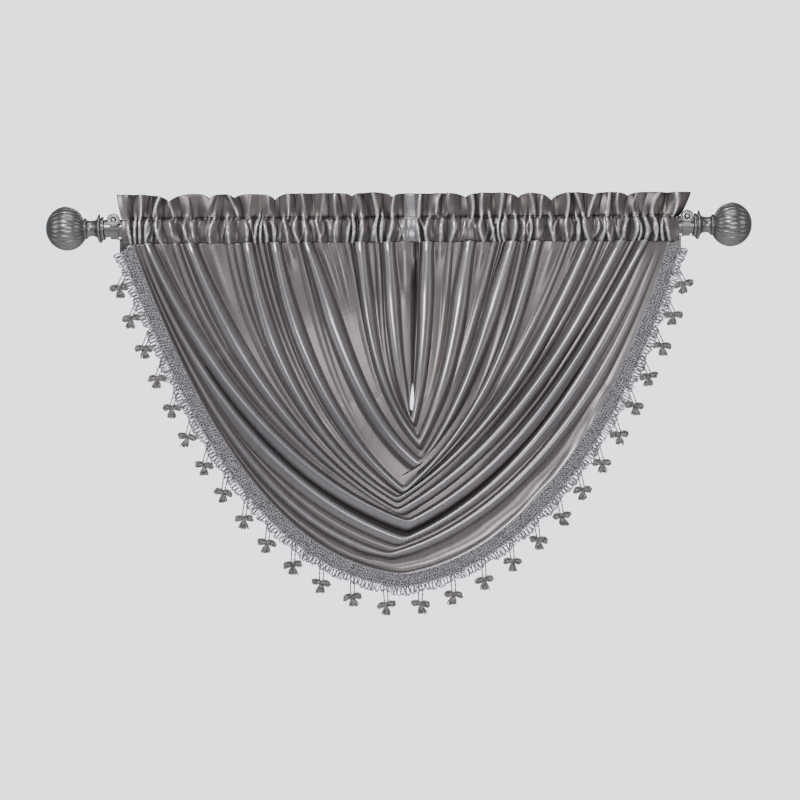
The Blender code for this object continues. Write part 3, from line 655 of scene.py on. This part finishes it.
# Strips of the heading that lie flat: middle, half width, paleness. Paleness is painted light on the same
# marks: above 1 a painted highlight, below 0 painted shade.
FLAT_STRIPS = ((19.5, 8.0, 1.1), (-438.0, 7.0, -0.15))
column_x = np.linspace(*POCKET_ENDS, HEADING_COLUMNS)
crown = HEADING_Z + 1.2 * MM * smooth_noise(column_x / (30 * MM), 0.0 * column_x, 5)
for dip_x, depth, half_width in HEADING_DIPS:
    crown -= depth * MM * np.exp(-np.abs(column_x - dip_x * MM) / (1.3 * half_width * MM))


def pleat_lines(seed, slant, pitch=None, at=None):
    """Where lines along the cloth start, how far each one leans and bends, and how much it stands."""
    random = np.random.default_rng(seed)
    if at is None:
        at = -0.48 + np.concatenate([[0.0], np.cumsum(random.uniform(*pitch, 150))]) * MM
        lowest = 0.0
    else:
        lowest = 1.0
    leans = random.uniform(-slant, slant, len(at)) * MM
    bends = random.uniform(-1.3 * slant, 1.3 * slant, len(at)) * MM
    return np.asarray(at) + lowest * leans, leans, bends, random.uniform(0.35, 1.0, len(at))


def between_lines(lines_of, level):
    """Number of the line left of each column, and the share of the way from it to the next one."""
    at, leans, bends, _ = lines_of
    moved = np.sort(at + leans * level + bends * (level * level - 1.0))
    left = np.clip(np.searchsorted(moved, column_x) - 1, 0, len(moved) - 2)
    part = (column_x - moved[left]) / np.maximum(moved[left + 1] - moved[left], LEAST_SPACING)
    return left, np.clip(part, 0.0, 1.0)


def puffs(lines_of, level, sharpness):
    """Rounded pleats from 0 to 1 between the lines, which wander sideways as level changes."""
    left, part = between_lines(lines_of, level)
    return lines_of[3][left] * np.sin(np.pi * part) ** sharpness


def tents(lines_of, level, sharpness):
    """Cloth that hangs from 1 on each line to 0 midway between, in a thin crease with smooth sides."""
    left, part = between_lines(lines_of, level)
    heights = lines_of[3]
    height = heights[left] * (1.0 - part) + heights[left + 1] * part
    return height * np.abs(1.0 - 2.0 * part) ** sharpness


# The swag's folds run up over the pocket as its creases.
seam_peaks = np.sort(seam_peaks)
seam_peaks = seam_peaks[np.concatenate([[True], np.diff(seam_peaks) > 5.0 * MM])]
pocket_lines = pleat_lines(31, 4.0, at=np.concatenate([[-0.48], seam_peaks, [0.48]]))
thin_lines = pleat_lines(35, 6.0, pitch=(9.0, 24.0))
stitch_lines = pleat_lines(32, 3.0, pitch=(5.0, 11.0))
wide_lines = pleat_lines(33, 6.0, pitch=(34.0, 60.0))
ruffle_lines = pleat_lines(34, 9.0, pitch=(17.0, 33.0))


def pocket_puff(level):
    """Pleats of the rod pocket at a level from -1 at its lower seam to 1 at its upper one."""
    return (
        tents(pocket_lines, level, 1.2) * 0.9
        + tents(thin_lines, level, 2.2) * 0.4 * (1.0 - 0.6 * abs(level) ** 3)
        + tents(stitch_lines, level, 1.5) * 0.25 * max(0.0, level) ** 4
    )


def ruffled(height):
    """How far forward the ruffle stands, at a height from 0 at the stitches to 1 at its top edge."""
    return (
        RUFFLE * 0.7 * (puffs(wide_lines, height, 1.0) - 0.4) * (0.1 + 0.9 * height)
        + RUFFLE * 1.15 * (tents(ruffle_lines, height, 1.15) - 0.35) * (0.55 + 0.45 * height)
        + PUFF * 0.75 * (tents(pocket_lines, 1.0 + 0.3 * height, 1.2) - 0.25) * math.exp(-5.0 * height)
        + STITCH_PUCKER * 0.3 * (tents(stitch_lines, 1.0 + 0.4 * height, 1.5) - 0.4) * math.exp(-8.0 * height)
    )


level_rows = []
flare_rows = []
heading_light_rows = []
flat_strip = 0.0 * column_x
strip_tone = 0.0 * column_x
for middle, half, paleness in FLAT_STRIPS:
    inside = np.clip(1.5 - np.abs(column_x / MM - middle) / half, 0.0, 1.0)
    flat_strip += inside
    strip_tone += inside * paleness


def averaged(row, count):
    """Running mean of a row over an odd number of columns."""
    return np.convolve(np.pad(row, count // 2, mode="edge"), np.full(count, 1 / count), mode="valid")


def add_level(forward, z, flare=0.0):
    """One row of the sheet: how far it is in front of the rod's axis, and its height."""
    near_stitch = np.exp(-(((z - FRONT_STITCH_Z) / STITCH_HALF_HEIGHT) ** 2))
    forward = forward + 0 * column_x
    smooth = averaged(forward, SMOOTHED_COLUMNS)
    nearby = averaged(forward, NEARBY_COLUMNS)
    creased = np.clip((forward - nearby) / CREASE_HEIGHT - 0.25, 0.0, 1.0)
    tucked = np.clip((nearby - forward) / CREASE_HEIGHT, 0.0, 1.0)
    forward = forward + (smooth - forward) * flat_strip
    level_rows.append((forward, z + 0 * column_x))
    # Painted highlight on the creases; painted shade in the tucks, by the stitches and over the ruffle or
    # pocket.
    tone = CREASE_HIGHLIGHT * creased - TUCK_SHADE * tucked - STITCH_SHADE * near_stitch
    tone -= RUFFLE_SHADE if flare else POCKET_SHADE
    heading_light_rows.append(tone * (1.0 - flat_strip) + strip_tone)
    flare_rows.append(flare)


add_level(-0.5 * MM, SEAM_Z + 1.5 * MM)
for angle in np.radians(np.linspace(-62.0, 58.0, 12)):
    level = math.sin(angle)
    radius = ROD_RADIUS + POCKET_GAP + 0.35 * PUFF * pocket_puff(level)
    add_level(-radius * math.cos(angle), radius * math.sin(angle))
add_level(-0.8 * MM, BACK_STITCH_Z)
add_level(4.5 * MM, BACK_STITCH_Z + 0.6 * MM)


def leaning(height):
    """How far in front of the rod's axis the ruffle's front layer stands, apart from its waves."""
    return CROWN_LEAN + (FRONT_STITCH - CROWN_LEAN) * (1.0 - height) + 0.8 * MM * math.sin(math.pi * height)


for height in np.linspace(0.02, 0.97, RUFFLE_ROWS - 3):
    behind = LAYER_GAP * (1.0 - 0.5 * height) + 1.0 * MM * math.sin(math.pi * height)
    z = BACK_STITCH_Z + (crown - BACK_STITCH_Z) * height
    add_level(ruffled(height) + leaning(height) - behind, z, height)
add_level(ruffled(1.0) + CROWN_LEAN, crown, 1.0)
for height in np.linspace(0.97, 0.05, RUFFLE_ROWS):
    add_level(ruffled(height) + leaning(height), FRONT_STITCH_Z + (crown - FRONT_STITCH_Z) * height, height)
add_level(FRONT_STITCH - 1.2 * MM + ruffled(0.0), FRONT_STITCH_Z)
pocket_middle = (FRONT_STITCH_Z + SEAM_Z) / 2
pocket_half = (FRONT_STITCH_Z - SEAM_Z) / 2
for level in np.linspace(0.93, -0.96, PUFF_ROWS):
    full = math.cos(0.5 * math.pi * level) ** 0.7
    least = FRONT_STITCH if level > 0.0 else POCKET_FOOT
    add_level(
        least + (POCKET_DEPTH - least) * full + PUFF * pocket_puff(level) * (0.75 + 0.25 * full),
        pocket_middle + pocket_half * level,
    )
seam_puff = pocket_puff(-1.0)
add_level(POCKET_FOOT - 0.6 * MM + 0.75 * PUFF * seam_puff, SEAM_Z + 0.4 * MM - SEAM_DROP * seam_puff)
add_level(POCKET_FOOT - 2.2 * MM + 0.5 * PUFF * seam_puff, SEAM_Z - 0.8 * MM - SEAM_DROP * seam_puff)
forward_part, upward_part = np.array(level_rows).transpose(1, 0, 2)
heading = np.stack([column_x + 0 * forward_part, ROD_Y - forward_part, upward_part], axis=-1)
outer_end = np.clip((np.abs(column_x) / POCKET_ENDS[1] - 0.9) / 0.1, 0.0, 1.0) ** 2
flare_reach = np.where(column_x < 0, -END_FLARE["left"], END_FLARE["right"])
heading[:, :, 0] += np.array(flare_rows)[:, None] ** 0.7 * flare_reach * outer_end
heading_piece = add_piece(
    "heading", heading, grid_faces(heading.shape[0], heading.shape[1])[:, ::-1], satin, "satin",
    measured_uv(heading)[:, :, ::-1],
)
mark_points(heading_piece, "painted_light", heading_light_rows)
thicken(heading_piece)
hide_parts("valance_cloth")

# Braid
# A flat woven gimp, about 20 mm wide, is sewn along the hem over the cloth's edge. Cords cross one
# another over a thin ground.
BRAID_WIDTH = 20.0 * MM
GROUND_THICKNESS = 0.8 * MM
GROUND_LIFT = 1.4 * MM
GROUND_STEPS = 900
BRAID_ENDS_SHORT = 7.0 * MM
CORD_RADIUS = 1.15 * MM
CORD_WAVE = 9.0 * MM
CORD_STEP = 0.9 * MM
LANE_SHIFT = 0.8
CORD_LANES = ((3.2, 2.6), (7.6, 2.8), (12.2, 2.8), (16.6, 2.6))
EDGE_CORDS = (0.9, 19.2)

hem_length = np.concatenate([[0.0], np.cumsum(np.linalg.norm(np.diff(hem, axis=0), axis=1))])
TOTAL_HEM = hem_length[-1]


def hem_frame(distance):
    """Place on the hem, and the way out of it, at distances along it from the left seam."""
    spot, way = (
        np.stack([np.interp(distance, hem_length, line[:, axis]) for axis in range(3)], axis=-1)
        for line in (hem, hem_out)
    )
    return spot, way / np.linalg.norm(way, axis=-1)[..., None]


def on_hem(distance, outward, lift):
    """Point beside the hem: outward in the cloth's plane and lifted towards the front."""
    spot, way = hem_frame(distance)
    point = spot + way * np.asarray(outward)[..., None]
    point[..., 1] -= lift
    return point


def yarns(paths, radius, sides=5):
    """Points and faces of round yarns. paths is shaped (yarns, points, 3)."""
    paths = np.asarray(paths, dtype=float)
    count, steps, _ = paths.shape
    along = np.gradient(paths, axis=1)
    along /= np.linalg.norm(along, axis=2)[..., None] + 1e-12
    front = np.zeros_like(along)
    front[..., 1] = 1.0
    upright = np.abs(along[..., 1]) > 0.92
    front[upright] = (1.0, 0.0, 0.0)
    across = np.cross(along, front)
    across /= np.linalg.norm(across, axis=2)[..., None]
    other = np.cross(across, along)
    angle = np.linspace(0, 2 * np.pi, sides, endpoint=False)
    ring = across[:, :, None, :] * np.cos(angle)[:, None] + other[:, :, None, :] * np.sin(angle)[:, None]
    points = (paths[:, :, None, :] + radius * ring).reshape(-1, 3)
    size = steps * sides
    starts = np.arange(0, count * size, size)
    walls = (grid_faces(steps, sides, wrap=True) + starts[:, None, None]).reshape(-1, 4).tolist()
    caps = [list(range(n, n + sides))[::-1] for n in starts]
    caps += [list(range(n + size - sides, n + size)) for n in starts]
    return points, walls + caps


def joined(shapes):
    """Join several (points, faces) shapes into one."""
    points = []
    faces = []
    total = 0
    for shape_points, shape_faces in shapes:
        points.append(shape_points)
        faces.extend([corner + total for corner in face] for face in shape_faces)
        total += len(shape_points)
    return np.concatenate(points), faces


# Yarn: spun fibres with a slow change of tone from place to place and a soft sheen.
yarn_look, yarn_in, yarn_out = new_group(
    "spun_yarn",
    {"Light": (0.4, 0.4, 0.4, 1.0), "Dark": (0.1, 0.1, 0.1, 1.0), "Patch": 300.0},
    {"Color": "NodeSocketColor", "Height": "NodeSocketFloat"},
)
yarn_where = place(yarn_look, "TexCoord").outputs["Object"]
patches = place(yarn_look, "TexNoise", {"Vector": yarn_where, "Scale": yarn_in["Patch"], "Detail": 3.0})
fibres = place(yarn_look, "TexNoise", {"Vector": yarn_where, "Scale": 2600.0, "Detail": 2.0})
blend = place(
    yarn_look, "Mix", {0: 0.4, 2: patches.outputs["Fac"], 3: fibres.outputs["Fac"]}, data_type="FLOAT",
)
tones = place(yarn_look, "MapRange", {"Value": blend.outputs[0], "From Min": 0.44, "From Max": 0.56})
yarn_colour = mix_colours(yarn_look, tones.outputs[0], yarn_in["Dark"], yarn_in["Light"])
yarn_look.links.new(yarn_colour, yarn_out["Color"])
yarn_look.links.new(fibres.outputs["Fac"], yarn_out["Height"])


def yarn_material(name, light, dark, patch, roughness):
    """Yarn in patches of two tones, with a fine fibre bump."""
    material, tree, shader = new_material(
        name, Roughness=roughness, Sheen_Weight=0.35, Sheen_Roughness=0.5,
    )
    look = use_group(tree, yarn_look, {"Light": light, "Dark": dark, "Patch": patch})
    tree.links.new(look["Color"], shader.inputs["Base Color"])
    bump = place(tree, "Bump", {"Height": look["Height"], "Strength": 0.5, "Distance": 0.3 * MM})
    tree.links.new(bump.outputs[0], shader.inputs["Normal"])
    return material


gimp = yarn_material("gimp_yarn", (0.50, 0.49, 0.535, 1.0), (0.04, 0.032, 0.036, 1.0), 480.0, 0.45)
braid_from = BRAID_ENDS_SHORT
braid_to = TOTAL_HEM - BRAID_ENDS_SHORT
ground_at = np.linspace(braid_from, braid_to, GROUND_STEPS)
ground_section = ((0.4, 0.0), (0.4, 1.0), (19.6, 1.0), (19.6, 0.0))
ground = np.stack([
    on_hem(ground_at, 0 * ground_at + outward * MM, GROUND_LIFT + lift * GROUND_THICKNESS)
    for outward, lift in ground_section
], axis=1)
ground_faces = grid_faces(len(ground_at), len(ground_section), wrap=True).tolist()
ground_faces += [[0, 1, 2, 3], [4 * len(ground_at) - 1 - n for n in range(4)]]
shapes = [(ground.reshape(-1, 3), ground_faces)]
cord_at = np.linspace(braid_from, braid_to, int((braid_to - braid_from) / CORD_STEP))
ground_face = GROUND_LIFT + GROUND_THICKNESS
for lane, (middle, swing) in enumerate(CORD_LANES):
    for strand in range(2):
        turn = 2 * np.pi * cord_at / CORD_WAVE + np.pi * strand + LANE_SHIFT * lane
        sideways = middle * MM + swing * MM * np.sin(turn)
        raised = ground_face + CORD_RADIUS * (0.9 + 0.75 * np.cos(2 * turn + np.pi * strand))
        shapes.append(yarns(on_hem(cord_at, sideways, raised)[None], CORD_RADIUS))
raised = ground_face + 0.6 * CORD_RADIUS
for outward in EDGE_CORDS:
    shapes.append(yarns(on_hem(cord_at, 0 * cord_at + outward * MM, raised)[None], CORD_RADIUS))
braid = add_piece("braid", *joined(shapes), gimp, "braid")
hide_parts("trim_braid")

# Loop fringe
# The braid's lower edge carries a fringe of twisted loops, longer midway between the tassels and
# shorter beside them, so that its edge is scalloped.
LOOP_PITCH = 5.6 * MM
LOOP_SHORT = 8.0 * MM
LOOP_LONG = 13.5 * MM
LOOP_RADIUS = 0.95 * MM
LOOP_HALF_WIDTH = 3.1 * MM
LOOP_STEPS = 15
LOOP_LAYERS = 2
LAYER_LIFT = 0.9 * MM
TASSELS = 28
loop_random = np.random.default_rng(21)
loop_at = np.arange(braid_from + 2 * MM, braid_to - 2 * MM, LOOP_PITCH)
tassel_pitch = (braid_to - braid_from) / TASSELS
scallop = np.abs(np.cos(np.pi * (loop_at - braid_from) / tassel_pitch))
even_lengths = LOOP_SHORT + (LOOP_LONG - LOOP_SHORT) * scallop
loop_paths = []
for layer in range(LOOP_LAYERS):
    lengths = even_lengths + loop_random.uniform(-1.8, 1.8, len(loop_at)) * MM
    lean = loop_random.uniform(-2.6, 2.6, len(loop_at)) * MM
    curl = loop_random.uniform(-1.5, 2.5, len(loop_at)) * MM
    shift = loop_random.uniform(0.0, 1.5, len(loop_at)) * MM
    for step in range(LOOP_STEPS):
        turn = 2 * np.pi * step / (LOOP_STEPS - 1)
        out_part = 0.5 - 0.5 * math.cos(turn)
        side_part = math.sin(turn) * (0.35 + 0.65 * out_part)
        distance = loop_at + shift + lean * out_part + side_part * LOOP_HALF_WIDTH
        outward = BRAID_WIDTH - 2.0 * MM + (lengths + 2.0 * MM) * out_part
        lift = GROUND_LIFT + layer * LAYER_LIFT + curl * out_part**2 + 0.8 * MM * side_part
        loop_paths.append(on_hem(np.clip(distance, 0.0, TOTAL_HEM), outward, lift))
loops = np.array(loop_paths).reshape(LOOP_LAYERS, LOOP_STEPS, len(loop_at), 3)
loops = loops.transpose(0, 2, 1, 3).reshape(-1, LOOP_STEPS, 3)
fringe = add_piece("loop_fringe", *yarns(loops, LOOP_RADIUS), gimp, "braid")

# Tassels
# Each hangs from two thin cords: a bow of looped yarn, tied round its middle, over a short cut skirt.
# Bow and skirt hang plumb whatever way the cords lean.
tassel_yarn = yarn_material("tassel_silk", (0.36, 0.335, 0.325, 1.0), (0.05, 0.04, 0.038, 1.0), 300.0, 0.42)
BOW_LOOPS = 7
BOW_HALF_WIDTH = 15.0 * MM
BOW_HEIGHT = 7.0 * MM
BOW_DROOP = 2.5 * MM
BOW_YARN_RADIUS = 1.3 * MM
BOW_YARN_SIDES = 6
BOW_STEPS = 13
BOW_BEHIND_FRONT = 6 * MM
BOW_ABOVE_FOOT = 20 * MM
CORD_YARN_RADIUS = 0.8 * MM
CORD_TWIST = 0.45 * MM
CORD_STEPS = 12
CORD_BOWING = 2.2 * MM
CORDS_FORWARD = 3.2 * MM
SKIRT_YARNS = 26
SKIRT_YARN_RADIUS = 1.0 * MM
SKIRT_STEPS = 7
SKIRT_NECK = 1.6 * MM
SKIRT_BELOW_BOW = 4.0 * MM
SKIRT_LENGTH = 13.5 * MM
SKIRT_HALF_WIDTH = 7.2 * MM
WRAP_YARN_RADIUS = 0.75 * MM
# Height above the bow's middle and radius of each turn of the yarn that ties it, in millimetres.
WRAPS = ((-4.2, 2.4), (-5.6, 2.1), (0.0, 2.8), (1.6, 2.6))
tassel_random = np.random.default_rng(5)
all_tassels = []
for number in range(TASSELS):
    low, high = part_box(f"tassel_{number + 1:02d}")
    at = braid_from + (number + 0.5) * tassel_pitch
    root, way = hem_frame(np.array([at]))
    root = root[0] + way[0] * (BRAID_WIDTH - 3 * MM)
    skirt_x = low[0] + BOW_HALF_WIDTH if way[0][0] < 0 else high[0] - BOW_HALF_WIDTH
    bow = np.array([skirt_x, low[1] + BOW_BEHIND_FRONT, low[2] + BOW_ABOVE_FOOT])
    root[1] -= CORDS_FORWARD
    step = np.linspace(0.0, 1.0, CORD_STEPS)[:, None]
    strands = []
    for side in (-1, 1):
        for twist in (0, 1):
            turn = 14 * step[:, 0] + np.pi * twist
            path = root + (bow + np.array([side * 1.5 * MM, 0, 2 * MM]) - root) * step
            bowed = side * CORD_BOWING * np.sin(np.pi * (0.15 + 0.7 * step[:, 0]))
            path[:, 0] += bowed + CORD_TWIST * np.cos(turn)
            path[:, 1] += CORD_TWIST * np.sin(turn)
            strands.append(path)
    all_tassels.append(yarns(strands, CORD_YARN_RADIUS))
    bows = []
    bow_turn = tassel_random.uniform(-0.18, 0.18)
    skirt_lean = tassel_random.uniform(-4.5, 4.5) * MM
    for side in (-1, 1):
        for n in range(BOW_LOOPS):
            tilt = (n - (BOW_LOOPS - 1) / 2) / BOW_LOOPS + tassel_random.uniform(-0.08, 0.08)
            size = tassel_random.uniform(0.82, 1.05)
            turn = np.linspace(0.0, 2 * np.pi, BOW_STEPS)
            outward = BOW_HALF_WIDTH * size * (0.5 - 0.5 * np.cos(turn)) * 0.93
            thick = 2.0 * MM * np.sin(turn)
            loop = np.zeros((BOW_STEPS, 3))
            loop[:, 0] = bow[0] + side * outward
            loop[:, 1] = bow[1] - 2.6 * MM * tilt * np.sin(turn / 2) * 2.2 + thick * 0.6
            loop[:, 2] = (
                bow[2] + BOW_HEIGHT * tilt * np.sin(turn / 2) + thick - 0.7 * MM
                - BOW_DROOP * (outward / BOW_HALF_WIDTH) ** 2 + side * outward * bow_turn
            )
            bows.append(loop)
    all_tassels.append(yarns(bows, BOW_YARN_RADIUS, BOW_YARN_SIDES))
    skirts = []
    for n in range(SKIRT_YARNS):
        turn = 2 * np.pi * n / SKIRT_YARNS + tassel_random.uniform(-0.15, 0.15)
        inner = 0.55 + 0.45 * (n % 2)
        wide = tassel_random.uniform(0.75, 1.1) * inner
        length = SKIRT_LENGTH * tassel_random.uniform(0.85, 1.1)
        part = np.linspace(0.0, 1.0, SKIRT_STEPS)
        opened = np.sin(0.5 * np.pi * part) ** 1.1
        flare = SKIRT_NECK + (SKIRT_HALF_WIDTH * wide - SKIRT_NECK) * opened
        path = np.zeros((SKIRT_STEPS, 3))
        path[:, 0] = bow[0] + flare * math.cos(turn) + skirt_lean * part
        path[:, 1] = bow[1] + 0.62 * flare * math.sin(turn)
        path[:, 2] = bow[2] - SKIRT_BELOW_BOW - length * part
        skirts.append(path)
    all_tassels.append(yarns(skirts, SKIRT_YARN_RADIUS))
    wraps = []
    for height, radius in WRAPS:
        turn = np.linspace(0.0, 2 * np.pi * 1.02, BOW_STEPS)
        ring = np.zeros((BOW_STEPS, 3))
        ring[:, 0] = bow[0] + radius * MM * np.cos(turn)
        ring[:, 1] = bow[1] + radius * MM * 1.05 * np.sin(turn)
        ring[:, 2] = bow[2] + height * MM
        wraps.append(ring)
    all_tassels.append(yarns(wraps, WRAP_YARN_RADIUS))
tassels = add_piece("tassels", *joined(all_tassels), tassel_yarn, "tassel")
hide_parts(*[f"tassel_{number + 1:02d}" for number in range(TASSELS)])

# Studio
# A plain pale floor far below the valance, a pale backdrop colour and soft lights all round.
FLOOR_Z = -2.0
FLOOR_HALF = 4.5
floor_points = [
    (x * FLOOR_HALF, y * FLOOR_HALF, FLOOR_Z) for x, y in ((-1, -1), (1, -1), (1, 1), (-1, 1))
]
floor_material, tree, shader = new_material("pale_floor", Roughness=0.7)
shader.inputs["Base Color"].default_value = (0.78, 0.79, 0.80, 1.0)
floor_mesh = bpy.data.meshes.new("floor")
floor_mesh.from_pydata(floor_points, [], [(0, 1, 2, 3)])
floor_mesh.materials.append(floor_material)
floor = bpy.data.objects.new("floor", floor_mesh)
link(floor)

world = bpy.data.worlds.new("studio")
bpy.context.scene.world = world
world.use_nodes = True
tree = world.node_tree
background = tree.nodes["Background"]
background.inputs["Color"].default_value = (0.72, 0.75, 0.79, 1.0)
background.inputs["Strength"].default_value = 0.3
backdrop = place(tree, "Background", {"Color": (0.70, 0.74, 0.795, 1.0), "Strength": 3.0})
seen = place(tree, "LightPath").outputs["Is Camera Ray"]
choice = place(tree, "MixShader", {0: seen, 1: background.outputs[0], 2: backdrop.outputs[0]})
tree.links.new(choice.outputs[0], tree.nodes["World Output"].inputs["Surface"])

LIGHTS = (
    # name, place, aimed at, width, height, power, colour
    ("key", (-0.9, -3.0, 1.3), (0.0, -0.1, -0.2), 0.4, 0.4, 44.0, (1.0, 0.99, 0.98)),
    ("front", (0.5, -3.1, -0.6), (0.0, -0.1, -0.3), 1.6, 0.8, 25.0, (0.97, 0.98, 1.0)),
    ("left", (-2.4, -1.3, 0.3), (0.0, -0.1, -0.25), 1.0, 1.8, 9.5, (0.93, 0.96, 1.0)),
    ("right", (2.5, -1.3, 0.3), (0.0, -0.1, -0.25), 1.0, 1.8, 8.5, (1.0, 0.96, 0.92)),
    ("top", (0.0, -1.2, 2.4), (0.0, -0.1, 0.0), 2.4, 1.2, 20.0, (1.0, 1.0, 1.0)),
    ("back", (0.0, 2.4, 0.8), (0.0, -0.1, -0.2), 1.8, 1.2, 75.0, (1.0, 1.0, 1.0)),
)
for name, spot, aim, width, height, power, colour in LIGHTS:
    lamp = bpy.data.lights.new(name, "AREA")
    lamp.shape = "RECTANGLE"
    lamp.size = width
    lamp.size_y = height
    lamp.energy = power
    lamp.color = colour
    light = bpy.data.objects.new(name, lamp)
    light.location = spot
    light.rotation_euler = (Vector(aim) - Vector(spot)).to_track_quat("-Z", "Y").to_euler()
    link(light)

# Camera
# Level with the middle of the cloth, straight in front and far enough away for a flat view. The
# picture is turned a little, as the rod in it slopes up to the right.
CAMERA_DISTANCE = 2.9
PICTURE_WIDTH = 1.28
PICTURE_CENTRE_Z = -0.2776
PICTURE_ROLL = 0.0065
lens = bpy.data.cameras.new("camera")
lens.sensor_fit = "HORIZONTAL"
lens.sensor_width = 36.0
lens.lens = 36.0 * (CAMERA_DISTANCE + ROD_Y) / PICTURE_WIDTH
camera = bpy.data.objects.new("camera", lens)
camera.location = (0.0, -CAMERA_DISTANCE, PICTURE_CENTRE_Z)
camera.rotation_euler = (math.pi / 2, PICTURE_ROLL, 0.0)
link(camera)
bpy.context.scene.camera = camera
